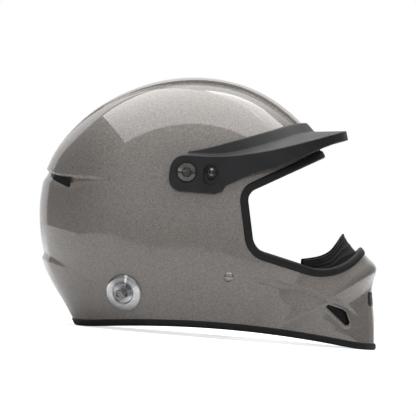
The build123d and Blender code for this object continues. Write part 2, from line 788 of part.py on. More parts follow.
with BuildPart() as anchor_post:
    with BuildSketch(dish_floor):
        Circle(anchor_shoulder_diameter / 2)
    extrude(amount=anchor_shoulder_height)
    with BuildSketch(dish_floor):
        Circle(anchor_neck_diameter / 2)
    extrude(amount=post_height)
    with BuildSketch(dish_floor.offset(post_height)):
        Circle(anchor_head_diameter / 2)
    extrude(amount=anchor_head_height)
    chamfer(anchor_post.edges().sort_by(Axis(anchor_plane.origin, anchor_plane.z_dir))[-1], edge_chamfer)
    with BuildSketch(dish_floor):
        Circle(anchor_stud_diameter / 2)
    extrude(amount=-(anchor_disc_height + shell_wall + nut_length))
    with BuildSketch(dish_floor.offset(post_height + anchor_head_height - hex_depth)):
        RegularPolygon(anchor_hex / 2, 6, major_radius=False)
    extrude(amount=far, mode=Mode.SUBTRACT)
pair(anchor_post, "anchor_posts")

with BuildPart() as anchor_nut:
    with BuildSketch(anchor_plane):
        Circle(nut_barrel_diameter / 2)
    extrude(amount=-(shell_wall + nut_length))
    with BuildSketch(anchor_plane):
        Circle(nut_flange_diameter / 2)
    extrude(amount=-(shell_wall + 2 * nut_flange_thickness))
    add(nut_room, mode=Mode.INTERSECT)
    with BuildSketch(anchor_plane):
        Circle(anchor_stud_diameter / 2 + running_gap)
    extrude(amount=-far, mode=Mode.SUBTRACT)
pair(anchor_nut, "anchor_nuts")

# Chin strap: a webbing on each side, riveted to the shell, that turns inwards under the cheek pad
strap_seat = rivet_seat - shell_wall - strap_wall_gap - strap_thickness / 2
strap_low = half_width(rivet_x, strap_turn_height) - strap_turn_inset
fold_radius = strap_thickness / 2 + snap_thickness / 2
loop_radius = ring_wire + 2 * ring_gap + strap_thickness / 2


def webbing(name, points, radii, holes, right=False):
    """A flat strap whose path across the helmet is a line with rounded turns."""
    with BuildPart() as strap:
        with BuildSketch(Plane.YZ.offset(rivet_x - strap_width / 2)):
            with BuildLine():
                path = FilletPolyline(*points, radius=radii)
            trace(path, line_width=strap_thickness)
        extrude(amount=strap_width)
        for hole in holes:
            add(hole, mode=Mode.SUBTRACT)
        if right:
            mirror(about=Plane.XZ, mode=Mode.REPLACE)
    finish(strap, name)


def disc(y, diameter, low, high):
    """A round plate lying flat on the strap's middle line."""
    with BuildPart(mode=Mode.PRIVATE) as plate:
        with BuildSketch(Plane.XY.offset(low)):
            with Locations((rivet_x, y)):
                Circle(diameter / 2)
        extrude(amount=high - low)
    return plate.part


down_the_wall = [
    (strap_seat, strap_top), (strap_seat, rivet_z - rivet_washer_diameter), (strap_low, strap_turn_height),
    (strap_low, strap_level),
]
fold_level = strap_level + 2 * fold_radius
rivet_bore = peg(rivet_x, rivet_z, rivet_shank_diameter + 2 * running_gap, 0, far)
snap_bore = disc(snap_place, snap_stud_diameter + 2 * running_gap, 0, strap_turn_height)
webbing(
    "chin_strap_left",
    down_the_wall + [
        (strap_fold_place, strap_level), (strap_fold_place, fold_level), (strap_tail_place, fold_level),
    ],
    [strap_bend, strap_bend, strap_bend] + [fold_radius * fold_share] * 2,
    [rivet_bore, snap_bore],
)
loop_end = ring_loop_place - loop_radius
loop_level = strap_level + 2 * loop_radius
stitch_level = strap_level + strap_thickness + strap_gap
webbing(
    "chin_strap_right",
    down_the_wall + [
        (loop_end, strap_level), (loop_end, loop_level), (ring_loop_place + loop_radius, loop_level),
        (ring_loop_place + loop_taper_share * loop_radius, stitch_level), (ring_stitch_place, stitch_level),
    ],
    [strap_bend, strap_bend, strap_bend] + [loop_radius * fold_share] * 2 + [strap_bend / 2] * 2,
    [rivet_bore],
    right=True,
)

# Two D-rings in the right-hand strap's loop, one over the other
half_ring = ring_inner_width / 2 + ring_wire / 2
bar_half = half_ring - ring_corner
low_bar = strap_level + strap_thickness / 2 + ring_gap + ring_wire / 2
high_bar = low_bar + ring_wire + ring_gap
bend_start = ring_corner + ring_arm
for name, bar_level in (("d_ring_lower", low_bar), ("d_ring_upper", high_bar)):
    with BuildPart() as ring:
        with BuildLine(Plane((rivet_x, -ring_loop_place, bar_level))):
            Line((0, 0), (bar_half, 0))
            CenterArc((bar_half, ring_corner), ring_corner, -90, 90)
            Line((half_ring, ring_corner), (half_ring, bend_start))
            CenterArc((0, bend_start), half_ring, 0, 180)
            Line((-half_ring, bend_start), (-half_ring, ring_corner))
            CenterArc((-bar_half, ring_corner), ring_corner, 180, 90)
            Line((-bar_half, 0), (0, 0))
        with BuildSketch(Plane(origin=(rivet_x, -ring_loop_place, bar_level), z_dir=(1, 0, 0))):
            Circle(ring_wire / 2)
        sweep()
    finish(ring, name)

# Snap that holds the folded tail: a stud under the strap and a cap on it
snap_middle = (strap_level + fold_level) / 2
with BuildPart() as strap_snap:
    add(disc(snap_place, snap_diameter, strap_level - strap_thickness / 2 - snap_thickness,
             strap_level - strap_thickness / 2))
    add(disc(snap_place, snap_stud_diameter, strap_level - strap_thickness / 2, snap_middle))
    add(disc(snap_place, snap_stud_diameter, snap_middle + running_gap, fold_level + strap_thickness / 2))
    add(disc(snap_place, snap_diameter, fold_level + strap_thickness / 2,
             fold_level + strap_thickness / 2 + snap_thickness))
finish(strap_snap, "strap_snap")

# Strap rivets and the washers behind the webbing
rivet_inner = strap_seat - strap_thickness / 2 - running_gap
washer_inner = rivet_inner - rivet_washer_thickness
with BuildPart() as rivet_head:
    add(peg(rivet_x, rivet_z, rivet_head_diameter, rivet_seat - rivet_head_height,
            rivet_seat + rivet_head_height))
    fillet(rivet_head.edges().sort_by(Axis.Y)[-1], rivet_head_height * rivet_dome_share)
    add(spacer_room, mode=Mode.SUBTRACT)
with BuildPart() as strap_rivet:
    add(rivet_head.part)
    add(peg(rivet_x, rivet_z, rivet_shank_diameter, washer_inner, rivet_seat + rivet_head_height / 2))
    add(peg(rivet_x, rivet_z, rivet_washer_diameter * rivet_tail_share, washer_inner - rivet_tail_height,
            washer_inner))
pair(strap_rivet, "strap_rivets")
with BuildPart() as rivet_washer:
    add(peg(rivet_x, rivet_z, rivet_washer_diameter, washer_inner, rivet_inner))
    add(rivet_bore, mode=Mode.SUBTRACT)
pair(rivet_washer, "rivet_washers")
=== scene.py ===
from math import cos, hypot, pi, radians, sin

import bmesh
import bpy
import numpy as np
from mathutils import Matrix


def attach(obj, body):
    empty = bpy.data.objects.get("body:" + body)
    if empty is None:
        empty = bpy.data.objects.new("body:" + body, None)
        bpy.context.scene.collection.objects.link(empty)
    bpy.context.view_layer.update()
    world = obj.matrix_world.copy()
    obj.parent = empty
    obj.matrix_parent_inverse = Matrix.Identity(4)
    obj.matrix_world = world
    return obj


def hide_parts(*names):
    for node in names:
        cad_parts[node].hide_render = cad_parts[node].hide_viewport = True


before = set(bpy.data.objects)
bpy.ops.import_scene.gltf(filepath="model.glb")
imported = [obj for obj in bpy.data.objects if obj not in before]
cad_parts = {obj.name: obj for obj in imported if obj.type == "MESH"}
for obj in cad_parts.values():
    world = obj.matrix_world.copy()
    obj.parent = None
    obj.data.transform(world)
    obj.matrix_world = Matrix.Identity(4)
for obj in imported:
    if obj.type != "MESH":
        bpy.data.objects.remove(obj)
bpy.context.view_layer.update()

# Full-face motor racing helmet. Lengths are written in millimetres and scaled as meshes are made.
# The outlines are drawn about a place under the shell's middle, and the meshes are set back from it
# so that the origin is under the middle of the whole, as in the CAD.
MM = 0.001
SET_BACK = np.array([-4.76, 0.0, 0.0])
BODY = "helmet"
scene = bpy.context.scene
# The way that the right side faces
ACROSS = (0, -1, 0)
# Points closer than this, in metres, are one
SAME_PLACE = 1e-6
SHARP_METAL, SHARP_SHELL = radians(28), radians(32)

# The shell's form: a fan of arches about a line under the helmet, as in the CAD source
FAN_X, FAN_Z = -5.0, -45.0
FAN_START, FAN_END = 9.0, 168.0
HALF_LENGTH, HEIGHT, HALF_WIDTH = 178.0, 265.0, 128.5
HUB_RADIUS = 20.0
TUCK_SHARE, TUCK_START = 0.11, 130.0
WALL = 4.0
SILHOUETTE_SHARES = [
    (-0.669, -0.068), (-0.753, 0.026), (-0.840, 0.115), (-0.913, 0.201), (-0.965, 0.302),
    (-0.998, 0.415), (-1.000, 0.490), (-0.986, 0.573), (-0.953, 0.646), (-0.861, 0.745),
    (-0.716, 0.847), (-0.529, 0.928), (-0.338, 0.978), (-0.074, 1.000), (0.192, 0.969),
    (0.367, 0.908), (0.511, 0.831), (0.616, 0.731), (0.725, 0.590), (0.790, 0.455),
    (0.868, 0.390), (0.916, 0.357), (0.972, 0.318), (0.960, 0.268), (0.957, 0.230),
    (0.966, 0.189), (0.979, 0.136), (0.997, 0.019), (1.005, -0.057),
]
SQUARENESS = [
    (0, 2.3), (36, 2.3), (50, 2.8), (64, 3.8), (76, 4.6), (90, 5.4),
    (104, 5.3), (116, 4.5), (126, 3.1), (136, 2.2), (146, 1.75), (156, 1.55), (180, 1.5),
]
# The tables are averaged over a few degrees, the outline only behind the chin, whose corners stay crisp
OUTLINE_SPREAD, SQUARE_SPREAD = 2.4, 4.0
CRISP_TO, AVERAGED_FROM = 50.0, 66.0


def step(value, start, end):
    """0 before start, 1 after end, and smooth between."""
    t = np.clip((np.asarray(value, float) - start) / (end - start), 0, 1)
    return t * t * (3 - 2 * t)


def curve(table):
    """A smooth function through (place, value) pairs."""
    x, y = np.array(table, float).T
    k = np.arange(len(x))
    low, high = np.maximum(k - 1, 0), np.minimum(k + 1, len(x) - 1)
    slope = (y[high] - y[low]) / (x[high] - x[low])

    def at(place):
        p = np.clip(place, x[0], x[-1])
        i = np.clip(np.searchsorted(x, p, side="left") - 1, 0, len(x) - 2)
        span = x[i + 1] - x[i]
        t = (p - x[i]) / span
        blend = t * t * (3 - 2 * t)
        return (y[i] + (y[i + 1] - y[i]) * blend + t * (1 - t) ** 2 * span * slope[i]
                + t * t * (t - 1) * span * slope[i + 1])

    return at


def side(share):
    return (HALF_LENGTH * share[0], HEIGHT * share[1])


def polar(x, z):
    """The angle in the fan in degrees, and the distance from the fan line."""
    dx, dz = np.asarray(x, float) - FAN_X, np.asarray(z, float) - FAN_Z
    return np.degrees(np.arctan2(dz, dx)), np.hypot(dx, dz)


def smoothed(table, spread, keep):
    """The curve through a table, averaged over a spread of degrees except where keep(angle) is 1."""
    exact = curve(table)
    grain = 0.25
    fine = np.arange(0, 180.01, grain)
    values = exact(fine)
    reach = np.arange(-4 * spread, 4 * spread + 0.01, grain)
    weights = np.exp(-0.5 * (reach / spread) ** 2)
    padded = np.interp(np.add.outer(fine, reach), fine, values)
    mean = padded @ weights / weights.sum()
    held = keep(fine)
    mixed = held * values + (1 - held) * mean
    return lambda angle: np.interp(angle, fine, mixed)


def outline_polar():
    """The side view's outline as (angle, reach) pairs in the fan."""
    rows = [polar(*side(share)) for share in SILHOUETTE_SHARES]
    return sorted((float(angle), float(reach)) for angle, reach in rows)


radius_at = smoothed(outline_polar(), OUTLINE_SPREAD, lambda angle: 1 - step(angle, CRISP_TO, AVERAGED_FROM))
square_at = smoothed(SQUARENESS, SQUARE_SPREAD, lambda angle: 0 * angle)


def arch_width(share, angle, inset):
    """Half the width of an arch at a share of its height."""
    square = square_at(angle)
    z = FAN_Z + share * radius_at(angle) * np.sin(np.radians(angle))
    tuck = 1 - TUCK_SHARE * np.maximum(1 - z / TUCK_START, 0) ** 2
    return (HALF_WIDTH - inset) * np.sqrt(np.maximum(1 - np.minimum(share, 1) ** square, 0)) * tuck


def half_width(x, z, inset=0.0):
    """Half the width of a dome at a place in the side view, or less than nothing outside it."""
    angle, reach = polar(x, z)
    share = reach / (radius_at(angle) - inset)
    return np.where(share >= 1, 1 - share, arch_width(share, angle, inset))


# Meshes


def placed(name, data):
    """An object of the scene with the given data."""
    obj = bpy.data.objects.new(name, data)
    scene.collection.objects.link(obj)
    return obj


def make(name, points, faces):
    """A mesh object in metres from points in millimetres."""
    mesh = bpy.data.meshes.new(name)
    places = (np.asarray(points, float) + SET_BACK) * MM
    mesh.from_pydata([tuple(p) for p in places], [], [tuple(f) for f in faces])
    mesh.validate()
    return placed(name, mesh)


def dress(obj, finish, replaces, body=BODY):
    """Gives a finished piece its material and its body, shades it smooth, and hides the CAD node that it
    replaces.
    """
    obj.data.materials.clear()
    obj.data.materials.append(finish)
    obj.data.shade_smooth()
    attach(obj, body)
    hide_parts(replaces)
    return obj


def settle(obj):
    """Replaces an object's mesh by what its modifiers make of it."""
    graph = bpy.context.evaluated_depsgraph_get()
    done = bpy.data.meshes.new_from_object(obj.evaluated_get(graph), depsgraph=graph)
    obj.modifiers.clear()
    old = obj.data
    obj.data = done
    bpy.data.meshes.remove(old)
    return obj


def boolean(obj, cutter, how):
    """Cuts an object with another, which goes away."""
    change = obj.modifiers.new("cut", "BOOLEAN")
    change.operation, change.solver, change.object = how, "MANIFOLD", cutter
    settle(obj)
    bpy.data.objects.remove(cutter)


def tube_faces(rows, cols, first=0):
    """The faces between rings of points that follow each other."""
    faces = []
    for i in range(first, first + (rows - 1) * cols, cols):
        for j in range(cols):
            k = (j + 1) % cols
            faces.append((i + j, i + k, i + cols + k, i + cols + j))
    return faces


def outward(obj, merge=0.0):
    """Turns an object's faces outwards, after joining the points closer than a distance."""
    bm = bmesh.new()
    bm.from_mesh(obj.data)
    if merge:
        bmesh.ops.remove_doubles(bm, verts=bm.verts, dist=merge)
    bmesh.ops.recalc_face_normals(bm, faces=bm.faces)
    bm.to_mesh(obj.data)
    bm.free()
    return obj


def prism(points, low, high, axis="y"):
    """A closed bar whose outline lies in the side view, or in the front view for axis x."""
    n = len(points)
    flat, at = np.array(points, float), 1 if axis == "y" else 0
    ends = [np.insert(flat, at, depth, axis=1) for depth in (low, high)]
    faces = [range(n), range(2 * n - 1, n - 1, -1)]
    faces += [(k + n, (k + 1) % n + n, (k + 1) % n, k) for k in range(n)]
    return outward(make("cutter", np.concatenate(ends), faces))


ROUND, HEX, TOOTHED = range(3)
TOOTH_SHARE = 0.07


def turned(name, centre, axis, runs, finish, replaces, segments=96, teeth=0):
    """A turned piece and its twin on the other side. Each run is a kind, round, six-sided or toothed, and
    its (radius, height along the axis) pairs."""
    centre, axis = np.array(centre, float), np.array(axis, float)
    axis /= np.linalg.norm(axis)
    up = np.array([0, 0, 1.0]) - axis * axis[2]
    up /= np.linalg.norm(up)
    aside = np.cross(axis, up)
    turn = np.arange(segments) * 2 * pi / segments
    six = 1 / np.cos((turn + pi / 6) % (pi / 3) - pi / 6)
    form = {ROUND: 1.0, HEX: six, TOOTHED: 1 - TOOTH_SHARE * (np.cos(turn * teeth) > 0)}
    rings = []
    for kind, pairs in runs:
        for radius, height in pairs:
            reach = radius * form[kind]
            ring = centre + axis * height + np.outer(np.cos(turn) * reach, up)
            rings.append(ring + np.outer(np.sin(turn) * reach, aside))
    one = np.concatenate(rings)
    both = np.concatenate([one, one * [1, -1, 1]])
    faces = tube_faces(len(rings), segments)
    faces += [tuple(k + len(one) for k in reversed(f)) for f in faces]
    obj = outward(make(name, both, faces), SAME_PLACE)
    dress(obj, finish, replaces)
    obj.data.set_sharp_from_angle(angle=SHARP_METAL)


def rounded_path(points, radii, spacing, closed=False):
    """A polyline with rounded corners, as points about a spacing apart."""
    pts = [np.array(p, float) for p in points]
    out = [] if closed else [pts[0]]
    inner = range(len(pts)) if closed else range(1, len(pts) - 1)
    for k, radius in zip(inner, radii):
        before, here, after = pts[k - 1], pts[k], pts[(k + 1) % len(pts)]
        a = (before - here) / np.linalg.norm(before - here)
        b = (after - here) / np.linalg.norm(after - here)
        half = np.arccos(np.clip(a @ b, -1, 1)) / 2
        reach = radius / np.tan(half)
        middle = here + (a + b) / np.linalg.norm(a + b) * radius / np.sin(half)
        start, end = here + a * reach - middle, here + b * reach - middle
        sweep = pi - 2 * half
        steps = max(int(np.ceil(radius * sweep / spacing)), 4)
        for t in np.arange(steps + 1) / steps:
            out.append(middle + (start * np.sin((1 - t) * sweep) + end * np.sin(t * sweep)) / np.sin(sweep))
    return np.array(out if closed else out + [pts[-1]])


def lengths_along(path):
    """How far along a path each of its points is."""
    return np.concatenate([[0], np.cumsum(np.linalg.norm(np.diff(path, axis=0), axis=1))])


def normals_of(path):
    """The unit normals of a path in a plane."""
    along = np.gradient(path, axis=0)
    normal = np.stack([along[:, 1], -along[:, 0]], 1)
    return normal / np.linalg.norm(normal, axis=1, keepdims=True)


def spaced(path, spacing):
    """A path resampled at about equal steps."""
    run = lengths_along(path)
    count = max(int(round(run[-1] / spacing)), 2)
    at = np.linspace(0, run[-1], count + 1)
    return np.stack([np.interp(at, run, part) for part in path.T], 1)


# Side-view outlines

EYEPORT = [side(s) for s in ((1.208, 0.949), (0.189, 0.565), (0.255, 0.353), (0.744, 0.277), (1.208, 0.723))]
EYEPORT_RADII = [12.0, 19.0, 48.0]
CHIN_VENT = [side(s) for s in ((0.683, 0.160), (0.710, 0.164), (0.793, 0.150), (0.812, 0.140),
                               (0.837, 0.102), (0.830, 0.090), (0.812, 0.090))]
REAR_VENT = [side(s) for s in ((-0.937, 0.568), (-0.847, 0.569), (-0.825, 0.556), (-0.825, 0.533),
                               (-0.840, 0.531), (-0.927, 0.554))]
VENT_CORNER = 1.6
MOUTH_SLOTS = [(-16.75, 52), (16.75, 52)]
MOUTH_SLOT_HALF = (14.25, 7.0)
MOUTH_SLOT_CORNER = 4.0
ARCH_RISE, ARCH_MIDDLE, ARCH_HALF_LENGTH, ARCH_SOFTNESS = 9.7, 20.0, 139.0, 0.6


def base_line(x):
    """The height of the helmet's lower edge: flat at the nape and the chin, and arched between."""
    rise = ARCH_RISE * (1 - ((np.asarray(x, float) - ARCH_MIDDLE) / ARCH_HALF_LENGTH) ** 2)
    return ARCH_SOFTNESS * np.log1p(np.exp(np.clip(rise / ARCH_SOFTNESS, -60, 60)))


def polygon_distance(x, z, points):
    """The distance to an outline in the side view, less than nothing inside it."""
    x, z = np.asarray(x, float), np.asarray(z, float)
    best = np.full(x.shape, 1e9)
    inside = np.zeros(x.shape, bool)
    for (x0, z0), (x1, z1) in zip(points, points[1:] + points[:1]):
        dx, dz = x1 - x0, z1 - z0
        t = np.clip(((x - x0) * dx + (z - z0) * dz) / (dx * dx + dz * dz), 0, 1)
        best = np.minimum(best, np.hypot(x - x0 - t * dx, z - z0 - t * dz))
        crosses = (z0 > z) != (z1 > z)
        where = x0 + (z - z0) * dx / (dz if abs(dz) > 1e-9 else 1e-9)
        inside ^= crosses & (x < where)
    return np.where(inside, -best, best)


# Carving of the shell, in millimetres inwards, by place in the side view. The crown's tables go by the angle
# in the fan, and the others by x.

CROWN_END = 130.0
SPINE = curve([(60, 3.2), (73.3, 3.4), (80, 3.2), (86.5, 2.6), (92.7, 2.8), (99, 3), (105, 2.4), (112, 1.4),
               (120, 0.5), (CROWN_END, 0.3)])
SPINE_WALL = curve([(60, 1), (74, 0.7), (80, 0.5), (86.5, 0.4), (92.7, 0.35), (99, 0.35), (110, 0.4),
                    (CROWN_END, 0.6)])
CHANNEL = curve([(44, 0), (50, 0), (58, 2), (64, 2.8), (70, 3.3), (80, 3.5), (88, 3.5), (93, 3.3),
                 (99, 2.6), (106, 1.8), (114, 1.2), (121, 0.7), (126, 0), (CROWN_END, 0.0)])
RIDGE = curve([(60, 44), (74, 34), (80.8, 25.7), (83.5, 21.9), (89.1, 17.7), (95, 12.9), (100.8, 8.6),
               (105.7, 7), (112, 9), (120, 14), (CROWN_END, 20.0)])
RIDGE_LIP = curve([(60, 0), (78, 0), (82, 0.7), (88, 1.1), (98, 1), (102, 0.4), (105, 0), (115, 0)])

REAR_END = -71.8
REAR_TOP = curve([(-184, 157.8), (-176, 157.4), (-170.4, 157), (-164.6, 154.2), (-149.3, 153.4),
                  (-128.6, 153.6), (-107.8, 153.3), (-87, 153.1), (REAR_END, 153.3)])
REAR_FOOT = curve([(-184, 146), (-170, 143), (-160, 140), (-149, 138.5), (-134.8, 143),
                   (-121.1, 146.8), (-107.5, 149.8), (-86.9, 152.3), (REAR_END, 153.2)])
REAR_DEPTH = curve([(-184, 2.2), (-172, 3.2), (-160, 3.7), (-147, 3.6), (-128, 2.8), (-107, 1.7), (-87, 0.7),
                    (-72, 0.0)])
REAR_WALL = 1.8

LOW_END = -114.0
LOW_TOP = curve([(-184, 74), (-172, 73), (-165.9, 71.2), (-156, 69.2), (-141.7, 63.3), (-127.4, 57.6),
                 (-116.6, 52.6)])
LOW_CREST = curve([(-184, 67), (-172, 67), (-166.3, 66.6), (-159.7, 62.6), (-148.2, 58), (-134, 53.8),
                   (-116.6, 52.0)])
LOW_RISE = curve([(-184, 3.4), (-170, 3.4), (-160, 3.3), (-148, 2.7), (-134, 1.7), (-122, 0.6),
                  (LOW_END, 0.0)])
LOW_FADE = (2.0, 40.0)

CHIN_START, CHIN_END = 42.0, 162.0
CHIN_TOP = curve([(CHIN_START, 65.5), (57.9, 65.2), (74.1, 63.5), (94.6, 60.2), (115.3, 54.9), (135.9, 49.6),
                  (146.4, 44.4), (153.9, 39), (CHIN_END, 32.0)])
CHIN_CREASE = curve([(CHIN_START, 64.0), (59.2, 61.3), (74.7, 57.5), (95.2, 53.7), (115.8, 48.9),
                     (136.1, 43.5), (146.6, 38.4), (154, 32), (CHIN_END, 26.0)])
CHIN_FOOT = curve([(CHIN_START, 62.5), (51.3, 59), (68.3, 48.9), (86.1, 41.3), (106.9, 34), (123.5, 28),
                   (137.7, 23.5), (150, 20), (CHIN_END, 17.0)])
CHIN_DEPTH = curve([(CHIN_START, 0.0), (52, 0.3), (62, 0.7), (75, 1.2), (95, 1.7), (115, 1.9), (136, 1.6),
                    (147, 1), (155, 0.4), (CHIN_END, 0.0)])

FLANK_SWELL, FLANK_Z, FLANK_SPREAD = 1.8, 70.0, 17.0
FLANK_FADE_X, FLANK_FADE_DROP = (100, 135), (2, 14)
RIM_HEIGHT, RIM_OUTSIDE, RIM_SPREAD = 0.7, 1.3, 0.9
# The least height of a wall or floor, so that its share of the way down can be worked out
LEAST = 0.8


def crown_channels(angle, drop):
    """A channel beside the spine, from its wall to a ridge with a raised lip."""
    wall_top = SPINE(angle)
    wall_foot = wall_top + SPINE_WALL(angle)
    ridge = RIDGE(angle)
    depth = CHANNEL(angle) * step(drop, wall_top, wall_foot) * (1 - step(drop, wall_foot, ridge + 1))
    lip = RIDGE_LIP(angle) * step(drop, wall_foot, ridge - 1.5) * (1 - step(drop, ridge - 1.5, ridge + 0.3))
    return np.where(angle < CROWN_END, depth + lip, 0)


def rear_scoop(x, z):
    """The scoop with the rear vent: a steep upper wall and a floor that rises again."""
    below = REAR_TOP(x) - z
    tall = np.maximum(REAR_TOP(x) - REAR_FOOT(x), 0.5)
    scoop = REAR_DEPTH(x) * step(below, 0, REAR_WALL) * (1 - step(below / tall, 0.15, 1.1))
    return np.where(x < REAR_END, scoop, 0)


def low_ridge(x, z):
    """The ridge low on the rear, which stands proud and fades downwards."""
    rise = LOW_RISE(x) * step(LOW_TOP(x) - z, 0, np.maximum(LOW_TOP(x) - LOW_CREST(x), LEAST))
    rise = rise * (1 - step(LOW_CREST(x) - z, *LOW_FADE))
    return np.where(x < LOW_END, rise, 0)


def chin_scoop(x, z):
    """The long scoop along the chin bar: a wall down to a crease, and a floor that rises from it."""
    wall = np.maximum(CHIN_TOP(x) - CHIN_CREASE(x), LEAST)
    floor = np.maximum(CHIN_CREASE(x) - CHIN_FOOT(x), LEAST)
    down = np.clip((CHIN_CREASE(x) - z) / floor, 0, 1)
    scoop = CHIN_DEPTH(x) * step(CHIN_TOP(x) - z, 0, 0.6 * wall) * (1 - down) ** 1.15
    return np.where((x > CHIN_START) & (x < CHIN_END), scoop, 0)


def flank_swell(x, z, drop):
    """A soft swell on the rear flank."""
    flank = step(-x, *FLANK_FADE_X) * step(drop, *FLANK_FADE_DROP)
    return FLANK_SWELL * flank * np.exp(-((z - FLANK_Z) / FLANK_SPREAD) ** 2)


def vent_rim(x, z):
    """A raised rim round the chin vent."""
    return RIM_HEIGHT * np.exp(-((polygon_distance(x, z, CHIN_VENT) - RIM_OUTSIDE) / RIM_SPREAD) ** 2)


def carving(x, z):
    angle, reach = polar(x, z)
    drop = radius_at(angle) - reach
    carved = crown_channels(angle, drop) + rear_scoop(x, z) - low_ridge(x, z) + chin_scoop(x, z)
    return carved - flank_swell(x, z, drop) - vent_rim(x, z)


# The places across an arch are spread by how a middling arch runs, closer over the crown and closest at the
# channels beside its spine
MIDDLING_HEIGHT, MIDDLING_HALF_WIDTH, MIDDLING_SQUARENESS = 285.0, 125.0, 4.6
CROWN_HALF_WIDTH, CROWN_CLOSENESS = 78.0, 0.7
CHANNEL_MIDDLE, CHANNEL_HALF_WIDTH, CHANNEL_CLOSENESS = 27.0, 11.0, 3.5


def arch_shares(across):
    """Shares of an arch's height, from its foot to the crown."""
    fine = np.sin(np.linspace(0, pi / 2, 2000))
    up = MIDDLING_HEIGHT * fine
    out = MIDDLING_HALF_WIDTH * np.sqrt(np.maximum(1 - fine ** MIDDLING_SQUARENESS, 0))
    pace = 1 + CROWN_CLOSENESS * (out[1:] < CROWN_HALF_WIDTH)
    pace = pace + CHANNEL_CLOSENESS * (abs(out[1:] - CHANNEL_MIDDLE) < CHANNEL_HALF_WIDTH)
    run = np.concatenate([[0], np.cumsum(np.hypot(np.diff(up), np.diff(out)) * pace)])
    return np.interp(np.linspace(0, run[-1], across + 1), run, fine)


def carved_by(left, x, z, carve):
    """Half a dome's points, moved inwards by the carving."""
    angles, across = left.shape[:2]
    along = np.gradient(left, axis=0)
    up_way = np.gradient(left, axis=1)
    # the surface goes on beyond the crown's line as its own mirror image
    up_way[:, -1] = (left[:, -1] - left[:, -2]) * [0, 1, 0]
    normal = np.cross(up_way, along)
    normal[:, -1, 1] = 0
    normal /= np.maximum(np.linalg.norm(normal, axis=-1, keepdims=True), 1e-9)
    if normal[angles // 2, across // 3, 1] < 0:
        normal = -normal
    left = left - normal * carve(x, z)[..., None]
    left[:, -1, 1] = 0.0
    return left


def dome(name, inset, angles, across, carve=None):
    """A closed solid inside the shell's surface, drawn in by an inset."""
    angle = np.linspace(FAN_START, FAN_END, angles)
    reach = radius_at(angle)[:, None] - inset
    low = HUB_RADIUS / reach
    share = low + (1 - low) * arch_shares(across)[None, :]
    share[:, -1] = 1.0
    wide = arch_width(share, angle[:, None], inset)
    wide[:, -1] = 0.0
    turn = np.radians(angle)[:, None]
    x = FAN_X + reach * share * np.cos(turn)
    z = FAN_Z + reach * share * np.sin(turn)
    left = np.stack([x, wide, z], -1)
    if carve is not None:
        left = carved_by(left, x, z, carve)
    right = left[:, -2::-1] * [1, -1, 1]
    grid = np.concatenate([left, right], 1)
    rows, cols = grid.shape[:2]
    index = np.arange(rows * cols).reshape(rows, cols)
    quads = np.stack([index[:-1, :-1], index[1:, :-1], index[1:, 1:], index[:-1, 1:]], -1).reshape(-1, 4)
    faces = list(quads)
    faces += [(index[k, -1], index[k + 1, -1], index[k + 1, 0], index[k, 0]) for k in range(rows - 1)]
    faces += [index[0], index[-1][::-1]]
    return outward(make(name, grid.reshape(-1, 3), faces))


def edge_of(inside, low, high):
    """The last place that is inside, on the way from one that is to one that isn't."""
    for _ in range(40):
        middle = (low + high) / 2
        held = inside(middle)
        low, high = np.where(held, middle, low), np.where(held, high, middle)
    return low


def track_points(track, inset, count):
    """Points along a track on one side of the helmet, from where it meets the shell to where it leaves it."""
    def within(share):
        return half_width(*track(share), inset) > 0

    fine = np.linspace(0, 1, 1500)
    inside = within(fine)
    first, last = np.argmax(inside), len(fine) - 1 - np.argmax(inside[::-1])
    start = edge_of(within, fine[first], fine[first - 1]) if first > 0 else 0.0
    end = edge_of(within, fine[last], fine[last + 1]) if last < len(fine) - 1 else 1.0
    x, z = track(start + (end - start) * (1 - np.cos(np.linspace(0, pi, count))) / 2)
    y = np.maximum(half_width(x, z, inset), 0)
    if first > 0:
        y[0] = 0
    if last < len(fine) - 1:
        y[-1] = 0
    return np.stack([x, y, z], -1)


def band(name, tracks, finish, replaces, count):
    """A band over both sides of the helmet. The tracks go round its profile, and each is a function from 0..1
    to (x, z) and an inset."""
    left = np.stack([track_points(track, inset, count) for track, inset in tracks], 1)
    rows, cols = left.shape[:2]
    grid = np.concatenate([left.reshape(-1, 3), (left * [1, -1, 1]).reshape(-1, 3)])
    faces = []
    for base in (0, rows * cols):
        faces += tube_faces(rows, cols, base)
        for i in (0, rows - 1):
            if left[i, :, 1].max() > 0.5:
                faces.append(range(base + i * cols, base + (i + 1) * cols))
    dress(outward(make(name, grid, faces), SAME_PLACE), finish, replaces)


def signed(value, power):
    """A power of a value's size, with the value's sign."""
    return abs(value) ** power * (1 if value > 0 else -1)


def rounded_profile(width, inner, outer, bulge, count=40, power=3.4):
    """A closed trim profile as (place across the band, inset) pairs."""
    rows = []
    for k in range(count):
        c, s = cos(2 * pi * k / count), sin(2 * pi * k / count)
        across = width / 2 * (1 + signed(c, 2 / power))
        depth = (inner + outer) / 2 + (inner - outer) / 2 * signed(s, 2 / power)
        if s < 0:
            depth -= bulge * (1 - abs(c) ** 2)
        rows.append((across, depth))
    return rows


# Materials


def material(name, **sockets):
    """A material, its node tree and its shader, whose sockets are set."""
    mat = bpy.data.materials.new(name)
    mat.use_nodes = True
    shader = mat.node_tree.nodes["Principled BSDF"]
    for key, value in sockets.items():
        shader.inputs[key.replace("_", " ")].default_value = value
    return mat, mat.node_tree, shader


def node(tree, kind, inputs=None, **settings):
    """A shader node. Each of its inputs is a constant or a link."""
    made = tree.nodes.new("ShaderNode" + kind)
    for key, value in settings.items():
        setattr(made, key, value)
    for key, value in (inputs or {}).items():
        if isinstance(value, bpy.types.NodeSocket):
            tree.links.new(value, made.inputs[key])
        else:
            made.inputs[key].default_value = value
    return made


